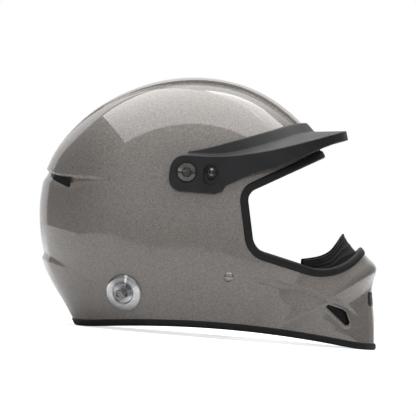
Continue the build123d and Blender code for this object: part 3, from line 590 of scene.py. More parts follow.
def place(tree, turn=(0, 0, 0)):
    """Object coordinates, turned."""
    coords = node(tree, "TexCoord").outputs["Object"]
    return node(tree, "Mapping", {"Vector": coords, "Rotation": turn}).outputs["Vector"]


def noise(tree, vector, scale, detail=2.0, rough=0.5):
    inputs = {"Vector": vector, "Scale": scale, "Detail": detail, "Roughness": rough}
    return node(tree, "TexNoise", inputs).outputs["Fac"]


def ramp(tree, value, stops):
    made = node(tree, "ValToRGB", {"Fac": value})
    for _ in stops[2:]:
        made.color_ramp.elements.new(0.5)
    for element, (at, colour) in zip(made.color_ramp.elements, stops):
        element.position = at
        element.color = (*colour, 1)
    return made.outputs["Color"]


def greys(*stops):
    """Ramp stops of plain grey."""
    return [(at, (level,) * 3) for at, level in stops]


def math(tree, how, a, b):
    return node(tree, "Math", {0: a, 1: b}, operation=how).outputs[0]


def spread(tree, value, low, high):
    return node(tree, "MapRange", {"Value": value, "To Min": low, "To Max": high}).outputs["Result"]


def bump(tree, shader, height, strength, distance):
    made = node(tree, "Bump", {"Strength": strength, "Distance": distance, "Height": height})
    tree.links.new(made.outputs["Normal"], shader.inputs["Normal"])


def vector_math(tree, how, *inputs):
    made = node(tree, "VectorMath", dict(enumerate(inputs)), operation=how)
    return made.outputs["Value" if how == "LENGTH" else "Vector"]


def parts_of(tree, vector):
    """A vector's x, y and z."""
    return tuple(node(tree, "SeparateXYZ", {0: vector}).outputs)


FLAKE_SCALE, FLAKE_SHARE, FLAKE_TILT = 1500, 0.55, 0.24
CLOUD_SCALE, CLOUD_SHARE = 900, 0.45
ROUGHNESS_VARIES, FUZZ_SHARE = 0.06, 0.6
DARKER_SHARE = 0.82


def paint_material():
    """Warm grey metallic flake under a glossy clear coat. Each flake has its own shade and tilt."""
    mat, tree, shader = material("flake_paint", Metallic=0.35, Roughness=0.52, Coat_Weight=1.0,
                                 Coat_Roughness=0.015, Coat_IOR=1.65)
    at = place(tree)
    flakes = node(tree, "TexVoronoi", {"Vector": at, "Scale": FLAKE_SCALE}).outputs["Color"]
    shade = node(tree, "SeparateColor", {"Color": flakes}).outputs[0]
    flake_part = math(tree, "MULTIPLY", shade, FLAKE_SHARE)
    cloud_part = math(tree, "MULTIPLY", noise(tree, at, CLOUD_SCALE, 2), CLOUD_SHARE)
    colour = ramp(tree, math(tree, "ADD", flake_part, cloud_part), [
        (0.15, (0.160, 0.142, 0.128)), (0.5, (0.250, 0.226, 0.206)),
        (0.75, (0.318, 0.290, 0.266)), (1.0, (0.54, 0.50, 0.46)),
    ])
    tree.links.new(colour, shader.inputs["Base Color"])
    tilt = vector_math(tree, "SUBTRACT", flakes, (0.5,) * 3)
    surface = node(tree, "NewGeometry").outputs["Normal"]
    leaning = vector_math(tree, "ADD", surface, vector_math(tree, "MULTIPLY", tilt, (FLAKE_TILT,) * 3))
    tree.links.new(vector_math(tree, "NORMALIZE", leaning), shader.inputs["Normal"])
    return mat


def plain(name, dark, light, roughness, grain, depth, wide=40, specular=0.5):
    """A moulded finish: a mottled colour, fine grain, and roughness that varies."""
    mat, tree, shader = material(name, Specular_IOR_Level=specular)
    at = place(tree)
    mottle = noise(tree, at, wide, 3, 0.6)
    tree.links.new(ramp(tree, mottle, [(0.3, dark), (0.7, light)]), shader.inputs["Base Color"])
    varied = noise(tree, at, wide * 4, 3)
    varied = spread(tree, varied, roughness - ROUGHNESS_VARIES, roughness + ROUGHNESS_VARIES)
    tree.links.new(varied, shader.inputs["Roughness"])
    bump(tree, shader, noise(tree, at, grain, 4, 0.6), 0.5, depth)
    return mat


def waves(tree, vector, way, scale, distortion, detail=2.0):
    inputs = {"Vector": vector, "Scale": scale, "Distortion": distortion, "Detail": detail}
    return node(tree, "TexWave", inputs, bands_direction=way).outputs["Fac"]


def fabric_material(name, dark, light, pitch, depth):
    """A knit: two crossed waves, fuzz and a soft sheen."""
    mat, tree, shader = material(name, Roughness=0.92, Sheen_Weight=0.35, Sheen_Roughness=0.5)
    one, other = [waves(tree, place(tree, turn=turn), "DIAGONAL", pitch, 1.2, 1.0)
                  for turn in ((0, 0, 0.7), (0.9, 0.4, -0.6))]
    weave = math(tree, "MULTIPLY", one, other)
    fuzz = noise(tree, place(tree), 1400, 3)
    total = math(tree, "ADD", weave, math(tree, "MULTIPLY", fuzz, FUZZ_SHARE))
    tree.links.new(ramp(tree, total, [(0.2, dark), (1.0, light)]), shader.inputs["Base Color"])
    bump(tree, shader, total, 0.7, depth)
    return mat


def painted_light_by_hour(tree, at, centre, painted_light_sectors):
    """Painted highlight and shade: grey levels by the hour on a dial, which multiply a metal's colour. 0 and
    1 are at the foot, 0.25 to the rear and 0.5 at the top.
    """
    x, _, z = parts_of(tree, at)
    hour = math(tree, "ARCTAN2", math(tree, "SUBTRACT", x, centre[0]), math(tree, "SUBTRACT", z, centre[2]))
    dial = math(tree, "ADD", math(tree, "DIVIDE", hour, 2 * pi), 0.5)
    return ramp(tree, dial, greys(*painted_light_sectors))


def tool_marks(tree, at, centre, axis):
    """The way that tool marks run round an axis and its mirror image, and the marks' height."""
    x, y, z = parts_of(tree, at)
    joined = node(tree, "CombineXYZ", {0: x, 1: math(tree, "ABSOLUTE", y, 0.0), 2: z}).outputs[0]
    around = vector_math(tree, "CROSS_PRODUCT", vector_math(tree, "SUBTRACT", joined, centre), axis)
    far = vector_math(tree, "LENGTH", around)
    rings = node(tree, "TexNoise", {"W": far, "Scale": 3800, "Detail": 3}, noise_dimensions="1D")
    return around, rings.outputs["Fac"]


def metal_material(name, colour, roughness, centre=None, axis=ACROSS, anisotropy=0.0, scratch=0.00002,
                   painted_light_sectors=None):
    """A machined metal. With a centre on the right side, its tool marks run round the axis there, as they do
    on the left side, and a dial of grey levels paints highlight and shade wedges into its colour by the hour,
    in place of the reflections of turned metal."""
    mat, tree, shader = material(name, Metallic=1.0, Anisotropic=anisotropy, Anisotropic_Rotation=0.25)
    at = place(tree)
    darker = tuple(DARKER_SHARE * part for part in colour)
    shade = ramp(tree, noise(tree, at, 300, 3), [(0.3, darker), (0.7, colour)])
    height = noise(tree, at, 2500, 2)
    if centre is not None:
        left_centre = tuple((np.array(centre) * [1, -1, 1] + SET_BACK) * MM)
        around, height = tool_marks(tree, at, left_centre, (axis[0], -axis[1], axis[2]))
        tree.links.new(around, shader.inputs["Tangent"])
        if painted_light_sectors:
            # Painted highlights and shade: the mottled colour is made lighter and darker in wedges round the
            # centre.
            shade = vector_math(tree, "MULTIPLY", shade, painted_light_by_hour(tree, at, left_centre, painted_light_sectors))
    tree.links.new(shade, shader.inputs["Base Color"])
    varied = spread(tree, noise(tree, at, 900, 3), roughness * 0.75, roughness * 1.25)
    tree.links.new(varied, shader.inputs["Roughness"])
    bump(tree, shader, height, 0.6, scratch)
    return mat


def webbing_material():
    """Flat nylon webbing: two crossed twills."""
    mat, tree, shader = material("strap_weave", Roughness=0.7, Sheen_Weight=0.25, Sheen_Roughness=0.4)
    uv = node(tree, "UVMap").outputs["UV"]
    heights = []
    for turn in (0.45, -0.45):
        turned_uv = node(tree, "Mapping", {"Vector": uv, "Rotation": (0, 0, turn)}).outputs[0]
        heights.append(waves(tree, turned_uv, "Y", 320, 0.4))
    weave = math(tree, "MAXIMUM", *heights)
    colour = ramp(tree, weave, [(0.2, (0.008, 0.008, 0.009)), (0.9, (0.05, 0.05, 0.053))])
    tree.links.new(colour, shader.inputs["Base Color"])
    bump(tree, shader, weave, 0.8, 0.0004)
    return mat


PAINT = paint_material()
RUBBER = plain("trim_rubber", (0.011,) * 3, (0.017, 0.017, 0.016), 0.55, 900, 0.00004, specular=0.3)
GUARD = plain("guard_rubber", (0.004,) * 3, (0.010,) * 3, 0.62, 1300, 0.00015, wide=90, specular=0.25)
PEAK_PLASTIC = plain("peak_plastic", (0.012, 0.012, 0.0135), (0.021, 0.021, 0.0245), 0.46, 1500, 0.00005,
                     wide=60, specular=0.42)
SCREEN = plain("screen_wire", (0.004,) * 3, (0.012,) * 3, 0.5, 2000, 0.00002)
FOAM = plain("bead_foam", (0.010, 0.010, 0.011), (0.026, 0.026, 0.028), 0.85, 420, 0.0004, wide=260)
BLACK_STEEL = metal_material("black_oxide", (0.060, 0.060, 0.062), 0.36)
STEEL = metal_material("satin_steel", (0.56, 0.56, 0.57), 0.26)
CHROME = metal_material("bright_steel", (0.40, 0.39, 0.38), 0.08, scratch=0.000004)
NYLON = plain("nylon", (0.06,) * 3, (0.10,) * 3, 0.5, 900, 0.00003)
KNIT = fabric_material("pad_knit", (0.006, 0.006, 0.007), (0.040, 0.040, 0.044), 260, 0.0005)
WEBBING = webbing_material()


# Outer shell

SHELL_GRID, QUICK_SHELL_GRID, INNER_GRID = (430, 280), (300, 150), (130, 60)
EDGE_IN_TRIM = 1.8
PORT_MIDDLE = np.array([150.0, 150.0])
PORT_TRIM_WIDTH, BASE_TRIM_WIDTH = 8.7, 7.2
TRIM_INNER, TRIM_OUTER, TRIM_BULGE = 5.5, -1.4, 0.4
BASE_FROM, BASE_LENGTH = -150.0, 350.0
# Where the cutters end, clear of the helmet
FAR_SIDE, FAR_END, FAR_TOP = 200.0, 230.0, 320.0
FRONT_FROM, FRONT_TO = 60.0, 260.0


def shell():
    """The painted shell, with its eyeport, vents and lower edge cut."""
    body = dome("outer_shell_paint", 0.0, *SHELL_GRID, carving)
    boolean(body, dome("inner", WALL, *INNER_GRID), "DIFFERENCE")
    edge = [(float(x), float(base_line(x)) + EDGE_IN_TRIM) for x in np.linspace(-FAR_END, FAR_END, 231)]
    edge += [(FAR_END, FAR_TOP), (-FAR_END, FAR_TOP)]
    boolean(body, prism(edge, -FAR_SIDE, FAR_SIDE), "INTERSECT")
    openings = [offset_outline(rounded_path(EYEPORT, EYEPORT_RADII, 1.0), EDGE_IN_TRIM)]
    for vent in (CHIN_VENT, REAR_VENT):
        openings.append(rounded_path(vent, [VENT_CORNER] * len(vent), 0.4, closed=True))
    for outline in openings:
        boolean(body, prism(outline, -FAR_SIDE, FAR_SIDE), "DIFFERENCE")
    a, b = MOUTH_SLOT_HALF
    for y, z in MOUTH_SLOTS:
        corners = [(y - a, z - b), (y + a, z - b), (y + a, z + b), (y - a, z + b)]
        outline = rounded_path(corners, [MOUTH_SLOT_CORNER] * 4, 0.5, closed=True)
        boolean(body, prism(outline, FRONT_FROM, FRONT_TO, axis="x"), "DIFFERENCE")
    dress(body, PAINT, "outer_shell")
    body.data.set_sharp_from_angle(angle=SHARP_SHELL)


def offset_outline(path, amount):
    """An open outline moved to its outer side, seen from the middle of the eyeport."""
    normal = normals_of(path)
    if ((path - PORT_MIDDLE) * normal).sum() < 0:
        normal = -normal
    return path + normal * amount


def port_track(across):
    """The eyeport's outline at a distance outside it, as a function of 0..1."""
    path = spaced(rounded_path(EYEPORT, EYEPORT_RADII, 0.8), 0.8)
    moved = offset_outline(path, across)
    run = lengths_along(path)
    run /= run[-1]
    return lambda s: (np.interp(s, run, moved[:, 0]), np.interp(s, run, moved[:, 1]))


def base_track(across):
    """The lower edge at a distance above it, as a function of 0..1."""
    def track(s):
        x = BASE_FROM + BASE_LENGTH * s
        return x, base_line(x) + across
    return track


def trim(node_name, track, width, count):
    """A rubber channel over the shell's edge."""
    profile = rounded_profile(width, TRIM_INNER, TRIM_OUTER, TRIM_BULGE)
    tracks = [(track(across), inset) for across, inset in profile]
    band(node_name + "_rubber", tracks, RUBBER, node_name, count)


shell()
trim("eyeport_trim", port_track, PORT_TRIM_WIDTH, 300)
trim("base_trim", base_track, BASE_TRIM_WIDTH, 360)


# Breath guard

GUARD_REAR, GUARD_LENGTH, GUARD_FOOT = 96.1, 78.0, 67.0
GUARD_TOP = curve([(GUARD_REAR, 86.7), (114.1, 91.4), (124.1, 97.5), (129.6, 105.5), (135.5, 116.6),
                   (150.1, 132.5)])
GUARD_FACE, GUARD_EDGE, GUARD_BACK = 6.1, (6.9, 7.9), 9.0
FACE_TOP_SHARE = 0.97
RIB_SHARES = (0.34, 0.50, 0.66, 0.82, 0.94)
RIB_RISE, RIB_SPREAD_SHARE = 0.35, 0.03


def guard_track(share):
    """The guard's line at a share of its height, from its rear end to the front."""
    def track(s):
        x = GUARD_REAR + GUARD_LENGTH * np.asarray(s, float)
        return x, GUARD_FOOT + share * (GUARD_TOP(x) - GUARD_FOOT)
    return track


def guard_profile():
    """Up the ribbed face, over the edge and down the smooth back, as (share of the height, inset)."""
    rows = []
    for share in np.linspace(0, FACE_TOP_SHARE, 60):
        rib = RIB_RISE * sum(np.exp(-((share - at) / RIB_SPREAD_SHARE) ** 2) for at in RIB_SHARES)
        rows.append((share, GUARD_FACE - rib))
    rows += [(1.0, inset) for inset in GUARD_EDGE]
    return rows + [(share, GUARD_BACK) for share in np.linspace(FACE_TOP_SHARE, 0, 14)]


guard_tracks = [(guard_track(share), inset) for share, inset in guard_profile()]
band("breath_guard_rubber", guard_tracks, GUARD, "breath_guard", 120)


# Vent screens

SIDE_PITCH, MOUTH_PITCH = 1.75, 1.25
WIRE, WIRE_TURN = 0.62, radians(38)
SIDE_OVERLAP, MOUTH_OVERLAP = 1.6, 1.4
SIDE_INSET, MOUTH_INSET = 2.2, 2.4
MOUTH_BOX = ((-32, 44), (32, 60))
SCREEN_SINK = curve([(-200, 0.9), (-120, 0.6), (60, 0.6), (100, 1.2), (140, 1.4), (170, 0.6)])


def lattice(name, inside, box, pitch, depth_at, replaces, axis="y"):
    """A woven screen: a slanted grid of fine wires inside an outline, bent to the shell. One in the side view
    has a twin."""
    low, high = box
    span = int(max(high[0] - low[0], high[1] - low[1]) / pitch) + 4
    centre = ((low[0] + high[0]) / 2, (low[1] + high[1]) / 2)
    points, index, faces = [], {}, []

    def spot(i, j):
        a, b = i * pitch, j * pitch
        return (centre[0] + a * cos(WIRE_TURN) - b * sin(WIRE_TURN),
                centre[1] + a * sin(WIRE_TURN) + b * cos(WIRE_TURN))

    def corner(i, j):
        if (i, j) not in index:
            index[i, j] = len(points)
            points.append(spot(i, j))
        return index[i, j]

    for i in range(-span, span):
        for j in range(-span, span):
            if inside(*spot(i + 0.5, j + 0.5)):
                faces.append([corner(i, j), corner(i + 1, j), corner(i + 1, j + 1), corner(i, j + 1)])
    u, v = np.array(points).T
    depth = depth_at(u, v)
    if axis == "y":
        grid = np.stack([u, depth, v], 1)
        faces += [[len(grid) + k for k in f] for f in faces]
        grid = np.concatenate([grid, grid * [1, -1, 1]])
    else:
        grid = np.stack([depth, u, v], 1)
    obj = dress(make(name, grid, faces), SCREEN, replaces)
    wires = obj.modifiers.new("wires", "WIREFRAME")
    wires.thickness = WIRE * MM
    wires.use_boundary = wires.use_even_offset = True
    settle(obj)


def side_screen(vent, name):
    """A screen in a vent in the side, with its twin."""
    box = (np.min(vent, axis=0), np.max(vent, axis=0))
    lattice(name + "_mesh", lambda x, z: polygon_distance(x, z, vent) < SIDE_OVERLAP, box, SIDE_PITCH,
            lambda x, z: half_width(x, z, SIDE_INSET + SCREEN_SINK(x)), name + "_screens")


def front_at(y, z, inset):
    """How far ahead a dome's surface is at a place in the front view."""
    return edge_of(lambda x: half_width(x, z, inset) > np.abs(y), FRONT_FROM, FRONT_TO)


def in_slots(y, z):
    """Whether a place in the front view is in a mouth slot or just beside one."""
    a, b = (half + MOUTH_OVERLAP for half in MOUTH_SLOT_HALF)
    return any(abs(y - slot_y) < a and abs(z - slot_z) < b for slot_y, slot_z in MOUTH_SLOTS)


side_screen(CHIN_VENT, "chin_vent")
side_screen(REAR_VENT, "rear_vent")
lattice("mouth_vent_mesh", in_slots, MOUTH_BOX, MOUTH_PITCH, lambda y, z: front_at(y, z, MOUTH_INSET),
        "mouth_vent_screens", axis="x")


# Peak

PIVOT_X, PIVOT_Z, LOCK_X, LOCK_Z = -29.6, 165.8, -4.4, 168.0
PEAK_VOXEL, PEAK_SMOOTHINGS = 0.8, 3
LOBE_REACH, LOBE_SLACK_SHARE = 17.4, 0.25


def remeshed(node_name, new_name, voxel):
    """A copy of a CAD node as an even mesh, which rounds its edges a little."""
    obj = placed(new_name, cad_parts[node_name].data.copy())
    obj.data.materials.clear()
    outward(obj, SAME_PLACE)
    again = obj.modifiers.new("remesh", "REMESH")
    again.mode, again.voxel_size = "VOXEL", voxel * MM
    return settle(obj)


def peak():
    """The moulded peak. Its lobes' rear upper corners follow an arc about the hinge."""
    obj = remeshed("peak", "peak_moulding", PEAK_VOXEL)
    ease = obj.modifiers.new("ease", "SMOOTH")
    ease.factor, ease.iterations = 0.5, PEAK_SMOOTHINGS
    settle(obj)
    dress(obj, PEAK_PLASTIC, "peak", body="peak")
    hinge_x = PIVOT_X + SET_BACK[0]
    for vertex in obj.data.vertices:
        dx, dz = vertex.co.x / MM - hinge_x, vertex.co.z / MM - PIVOT_Z
        reach = hypot(dx, dz)
        if dx < 0 and dz > 0 and reach > LOBE_REACH:
            kept = (LOBE_REACH + LOBE_SLACK_SHARE * (reach - LOBE_REACH)) / reach
            vertex.co.x, vertex.co.z = (hinge_x + dx * kept) * MM, (PIVOT_Z + dz * kept) * MM


peak()


# Padded lining

PAD_VOXEL, PAD_SHRINK = 4.5, 1.0
PAD_CAPS = {"crown_pad": 3.0, "neck_roll": 4.0, "cheek_pad_left": 5.0, "cheek_pad_right": 5.0}
CLOTH_FRAMES = 20
CLOTH = {"use_pressure": True, "uniform_pressure_force": 4.0, "quality": 5, "tension_stiffness": 12,
         "compression_stiffness": 12, "bending_stiffness": 0.4}


def move_to(obj, points):
    obj.data.vertices.foreach_set("co", points.ravel())
    obj.data.update()


def blow_up(obj, start, cap):
    """Blows a pad up as cloth from its starting points, with how far a point may move capped."""
    settings = obj.modifiers.new("cloth", "CLOTH").settings
    for key, value in CLOTH.items():
        setattr(settings, key, value)
    settings.effector_weights.gravity = 0
    for number in range(1, CLOTH_FRAMES + 1):
        scene.frame_set(number)
    graph = bpy.context.evaluated_depsgraph_get()
    moved = np.array([v.co for v in obj.evaluated_get(graph).data.vertices])
    obj.modifiers.clear()
    scene.frame_set(1)
    shift = moved - start
    size = np.linalg.norm(shift, axis=1, keepdims=True)
    shift *= np.minimum(1, cap * MM / np.maximum(size, 1e-9))
    move_to(obj, start + shift)


def pad(node_name, cap):
    """A stuffed pad: the CAD solid's form, drawn in and blown up."""
    obj = remeshed(node_name, node_name + "_quilt", PAD_VOXEL)
    rest = np.array([v.co for v in obj.data.vertices])
    normals = np.array([v.normal for v in obj.data.vertices])
    start = rest - normals * PAD_SHRINK * MM
    move_to(obj, start)
    blow_up(obj, start, cap)
    finer = obj.modifiers.new("finer", "SUBSURF")
    finer.levels = finer.render_levels = 1
    settle(obj)
    dress(obj, KNIT, node_name)


for pad_name, pad_cap in PAD_CAPS.items():
    pad(pad_name, pad_cap)


# Straps

RIVET_X, RIVET_Z = 21.9, 63.4
STRAP_WIDTH, STRAP_THICK = 25.0, 2.0
SELVEDGE_POWER, FACE_POWER = 0.28, 0.6
STRAP_END_Z, STRAP_TURN_Z, UNDER_CHIN_Z = 73.0, 22.0, 11.0
BELOW_RIVET = 11.0
WASHER_GAP, LOW_GAP = 2.4, 8.4


def selvedge_ring(count=32):
    """The webbing's section, with rounded selvedges, as (place across it, place through it)."""
    turns = [2 * pi * k / count for k in range(count)]
    a, b = STRAP_WIDTH / 2, STRAP_THICK / 2
    return [(a * signed(cos(turn), SELVEDGE_POWER), b * signed(sin(turn), FACE_POWER)) for turn in turns]


def strap(name, points, radii, side_sign):
    """A flat webbing along a path across the helmet."""
    path = spaced(rounded_path(points, radii, 0.6), 1.0)
    run = lengths_along(path)
    ring = selvedge_ring()
    rows = []
    for (y, z), (ny, nz) in zip(path, normals_of(path)):
        rows += [(RIVET_X + a, side_sign * (y + ny * b), z + nz * b) for a, b in ring]
    n = len(ring)
    faces = tube_faces(len(path), n) + [range(n), range(len(rows) - n, len(rows))]
    obj = make(name + "_webbing", rows, faces)
    layer = obj.data.uv_layers.new(name="UVMap")
    for loop, corner in zip(obj.data.loops, layer.data):
        i, j = divmod(loop.vertex_index, n)
        corner.uv = (ring[j][0] * MM, run[i] * MM)
    dress(outward(obj, SAME_PLACE), WEBBING, name)


rivet_seat = float(half_width(RIVET_X, RIVET_Z))
strap_seat = rivet_seat - WALL - WASHER_GAP - STRAP_THICK / 2
strap_low = float(half_width(RIVET_X, STRAP_TURN_Z)) - LOW_GAP
down_the_wall = [(strap_seat, STRAP_END_Z), (strap_seat, RIVET_Z - BELOW_RIVET), (strap_low, STRAP_TURN_Z),
                 (strap_low, UNDER_CHIN_Z)]
ring_loop = [(14.0, UNDER_CHIN_Z), (14, 14.6), (62, 14.6)]
folded_tail = [(53.0, UNDER_CHIN_Z), (53, 21), (63, 21), (70.5, 14), (84, 14)]
strap("chin_strap_left", down_the_wall + ring_loop, [9.0, 9.0, 9.0, 1.76, 1.76], 1)
strap("chin_strap_right", down_the_wall + folded_tail, [9.0, 9.0, 9.0, 4.9, 4.9, 4.5, 4.5], -1)


# Fasteners

HINGE_FACE, LOCK_FACE, WASHER_FACE = 126.8, 127.25, 126.05
SCREW_REACH = 13.0
HINGE_PLACE, LOCK_PLACE = (PIVOT_X, -HINGE_FACE, PIVOT_Z), (LOCK_X, -LOCK_FACE, LOCK_Z)
hinge_foot = float(half_width(PIVOT_X, PIVOT_Z)) - SCREW_REACH - HINGE_FACE
lock_foot = float(half_width(LOCK_X, LOCK_Z)) - SCREW_REACH - LOCK_FACE

# Painted highlight on the hinge screw heads: a bright wedge towards the rear, a little above the middle, as a
# glint on a dark screw.
HINGE_PAINTED_GLINT = [(0, 0.72), (0.2, 0.8), (0.255, 1), (0.275, 2.6), (0.31, 1.9), (0.335, 0.9), (0.5, 0.75),
                 (0.62, 0.9), (0.75, 0.68), (1, 0.72)]
turned(
    "hinge_screw_heads", HINGE_PLACE, ACROSS,
    [(ROUND, [(0, 0.6), (1.3, 0.6), (1.5, 1.1), (2, 1.1)]), (HEX, [(3.75, 1.1), (3.8, 2.1), (4.5, 3)]),
     (ROUND, [(5.9, 3), (6.1, 2.9), (9, 2.1), (9.3, 1.9), (9.4, 1.6), (9.4, 0.05), (3, 0.05),
              (3.0, hinge_foot), (0.0, hinge_foot)])],
    metal_material("black_screw", (0.21, 0.207, 0.196), 0.2, HINGE_PLACE, anisotropy=0.8,
                   painted_light_sectors=HINGE_PAINTED_GLINT),
    "peak_hinge_screws",
)
# Painted highlights and shade on the lock screw heads: a bright glint at the top, a lighter one at the foot,
# and dark wedges between.
LOCK_PAINTED_GLINTS = [(0, 1.9), (0.08, 1.3), (0.15, 0.3), (0.3, 0.8), (0.4, 0.6), (0.46, 4.2), (0.53, 4.2),
                (0.6, 0.5), (0.72, 0.9), (0.85, 0.3), (0.92, 1.3), (1, 1.9)]
turned(
    "lock_screw_heads", LOCK_PLACE, ACROSS,
    [(ROUND, [(0, 0.4)]), (HEX, [(1.5, 0.5), (1.7, 3.2), (2.1, 3.7)]),
     (ROUND, [(3, 3.8), (3.8, 3.4), (4.35, 2.5), (4.6, 1.2), (4.65, 0.05), (2.5, 0.05), (2.5, lock_foot),
              (0.0, lock_foot)])],
    metal_material("bright_screw", (0.16, 0.16, 0.165), 0.09, LOCK_PLACE, anisotropy=0.3, scratch=0.000004,
                   painted_light_sectors=LOCK_PAINTED_GLINTS),
    "peak_lock_screws",
)
turned(
    "lock_washer_teeth", (LOCK_X, -WASHER_FACE, LOCK_Z), ACROSS,
    [(ROUND, [(2.55, 1), (5.3, 0.4)]), (TOOTHED, [(6.2, 1.6), (6.45, 1.5), (6.5, 0)]),
     (ROUND, [(2.55, 0), (2.55, 1)])],
    metal_material("black_washer", (0.075, 0.075, 0.08), 0.12, scratch=0.000004),
    "peak_lock_washers", segments=192, teeth=24,
)

# Head-restraint anchors: a turned disc with a dish, and the post in it
ANCHOR_X, ANCHOR_Z = -82.7, 38.9
ANCHOR_AXIS = (-0.4219, -0.8636, -0.2760)
ANCHOR_PLACE = (ANCHOR_X, -float(half_width(ANCHOR_X, ANCHOR_Z)), ANCHOR_Z)
# Painted reflections on the anchor discs: a narrow bright wedge at the top, lighter wedges to the rear and
# front, and darker ones between.
DISC_PAINTED_REFLECTIONS = [(0, 0.66), (0.12, 0.72), (0.2, 1.08), (0.31, 1.02), (0.37, 0.52), (0.487, 0.44),
                (0.497, 1.5), (0.513, 1.5), (0.523, 0.54), (0.61, 0.64), (0.65, 0.72), (0.68, 1.14),
                (0.82, 1.2), (0.93, 0.86), (1, 0.66)]
turned(
    "anchor_disc_turned", ANCHOR_PLACE, ANCHOR_AXIS,
    [(ROUND, [(3.05, 1.8), (9.6, 1.8), (10.6, 2.2), (11.6, 3.2), (11.9, 3.25), (12, 3.6), (12.6, 3.75),
              (15.8, 3.6), (18.5, 2.35), (18.9, 2), (19, 1.6), (19, -1.6), (3.05, 0.2), (3.05, 1.8)])],
    metal_material("turned_alloy", (0.86, 0.86, 0.88), 0.24, ANCHOR_PLACE, ANCHOR_AXIS, 0.9, 0.000008,
                   DISC_PAINTED_REFLECTIONS),
    "anchor_discs", segments=160,
)
turned(
    "anchor_post_turned", ANCHOR_PLACE, ANCHOR_AXIS,
    [(ROUND, [(0, 11)]), (HEX, [(2.45, 11), (2.5, 12.5), (2.7, 12.75)]),
     (ROUND, [(3.6, 12.8), (4.7, 12.75), (5.3, 12.2), (5.3, 9.7), (5, 9.4), (3.6, 9.35), (3.45, 8.8),
              (3.45, 3.8), (3.7, 3.4), (5.5, 3.4), (5.75, 3.1), (5.75, 1.8), (3, 1.8), (3, -11.2),
              (0.0, -11.2)])],
    metal_material("turned_steel", (0.36, 0.355, 0.35), 0.12, ANCHOR_PLACE, ANCHOR_AXIS, 0.3, 0.000004),
    "anchor_posts",
)

# Strap rivets: a domed head with a rolled edge
turned(
    "rivet_heads", (RIVET_X, -rivet_seat, RIVET_Z), ACROSS,
    [(ROUND, [(0, 2), (1.6, 1.93), (3, 1.6), (4.1, 1), (4.7, 0.35), (4.9, -0.1), (4.8, -0.9),
              (2.4, -0.9), (2.4, -9.6), (3.57, -9.65), (3.4, -10.3), (0, -10.45)])],
    CHROME, "strap_rivets",
)


# Finishes of the CAD pieces that stay

for finish, node_names in (
    (FOAM, ("eps_liner", "chin_bar_liner")),
    (STEEL, ("peak_hinge_nuts", "peak_lock_nuts", "anchor_nuts", "rivet_washers", "d_ring_lower",
             "d_ring_upper")),
    (NYLON, ("peak_hinge_bushes", "peak_lock_spacers")),
    (BLACK_STEEL, ("strap_snap",)),
):
    for node_name in node_names:
        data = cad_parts[node_name].data
        data.materials.clear()
        data.materials.append(finish)


# Studio

scene.view_settings.view_transform = "Standard"
FLOOR_GLOW = 0.72
# The light's place and size, in metres
BOX_PLACE, BOX_SIZE, BOX_RADIANCE = (0.0, 0.5, 1.5), (2.5, 2.2), 2.25
FLOOR_CORNERS = [(-950, -1300, 0), (3200, -1300, 0), (3200, 2200, 0), (-950, 2200, 0)]


def backdrop_world():
    """Plain white to the camera; dim on the camera's side and pale behind."""
    world = bpy.data.worlds.new("studio")
    scene.world = world
    world.use_nodes = True
    tree = world.node_tree
    tree.nodes.clear()
    x, y, z = parts_of(tree, node(tree, "TexCoord").outputs["Generated"])
    fore, ahead, height = [math(tree, "MULTIPLY", math(tree, "ADD", part, 1.0), 0.5) for part in (x, y, z)]
    around = ramp(tree, ahead, greys((0, 0.58), (0.2, 0.50), (0.36, 0.27), (0.5, 0.08)))
    upward = ramp(tree, height, greys((0.49, 0.46), (0.58, 0.96), (0.68, 1.10)))
    around = math(tree, "MULTIPLY", around, upward)
    back = ramp(tree, ahead, greys((0.862, 0), (0.872, 0.85)))
    low = ramp(tree, z, greys((0.47, 1), (0.50, 0)))
    low = math(tree, "MAXIMUM", low, ramp(tree, fore, greys((0.36, 0), (0.44, 1))))
    aside = ramp(tree, x, greys((0.25, 1), (0.45, 0.2)))
    panel = math(tree, "MULTIPLY", math(tree, "MULTIPLY", back, low), aside)
    by_camera = node(tree, "LightPath").outputs["Is Camera Ray"]
    seen = math(tree, "MAXIMUM", math(tree, "MAXIMUM", around, panel), by_camera)
    light = node(tree, "Background", {"Color": seen}).outputs[0]
    node(tree, "OutputWorld", {"Surface": light})


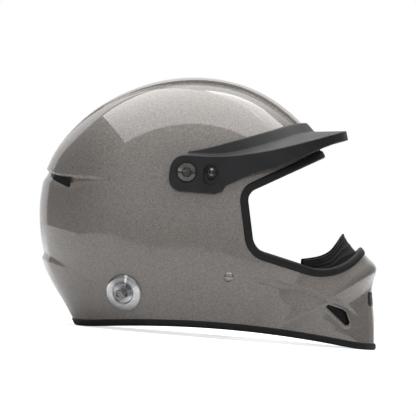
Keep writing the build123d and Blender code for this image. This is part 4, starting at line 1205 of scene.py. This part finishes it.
def floor():
    """A pale floor, which the camera sees as nearly white. Its colour darkens towards the helmet: painted
    shade, which the helmet's lower sides reflect.
    """
    mat, tree, shader = material("pale_floor", Roughness=0.9)
    far = vector_math(tree, "LENGTH", place(tree))
    # Painted shade: the floor's colour is darker near the helmet and paler far off.
    shade = ramp(tree, far, greys((0.13, 0.64), (0.48, 0.88), (0.9, 0.96)))
    tree.links.new(shade, shader.inputs["Base Color"])
    pale = node(tree, "BsdfDiffuse").outputs[0]
    glow = node(tree, "Emission", {"Strength": FLOOR_GLOW}).outputs[0]
    seen = node(tree, "AddShader", {0: pale, 1: glow}).outputs[0]
    by_camera = node(tree, "LightPath").outputs["Is Camera Ray"]
    mixed = node(tree, "MixShader", {0: by_camera, 1: shader.outputs[0], 2: seen}).outputs[0]
    tree.links.new(mixed, tree.nodes["Material Output"].inputs["Surface"])
    plane = make("studio_floor", FLOOR_CORNERS, [(0, 1, 2, 3)])
    plane.data.materials.append(mat)


def softbox():
    """An even rectangular light above the helmet, hidden from the camera."""
    data = bpy.data.lights.new("top_box", "AREA")
    data.shape, data.size, data.size_y = "RECTANGLE", *BOX_SIZE
    data.energy = BOX_RADIANCE * pi * BOX_SIZE[0] * BOX_SIZE[1]
    obj = placed("top_box", data)
    obj.location = BOX_PLACE
    obj.visible_camera = False


backdrop_world()
floor()
softbox()

# The camera looks square at the helmet's right side, rolled as the photograph is, from far off
ROLL = radians(4.8)
VIEW_X, VIEW_Z, DISTANCE = -9.76, 131.4, 8000.0
PHOTO_WIDTH, PIXEL, SENSOR = 416, 1.03, 36.0
camera_data = bpy.data.cameras.new("camera")
camera = placed("camera", camera_data)
camera_data.sensor_width = SENSOR
camera_data.lens = SENSOR * DISTANCE / (PHOTO_WIDTH * PIXEL)
camera_data.clip_end = 100
camera.matrix_world = Matrix((
    (cos(ROLL), -sin(ROLL), 0, VIEW_X * MM),
    (0, 0, -1, -DISTANCE * MM),
    (sin(ROLL), cos(ROLL), 0, VIEW_Z * MM),
    (0, 0, 0, 1),
))
scene.camera = camera
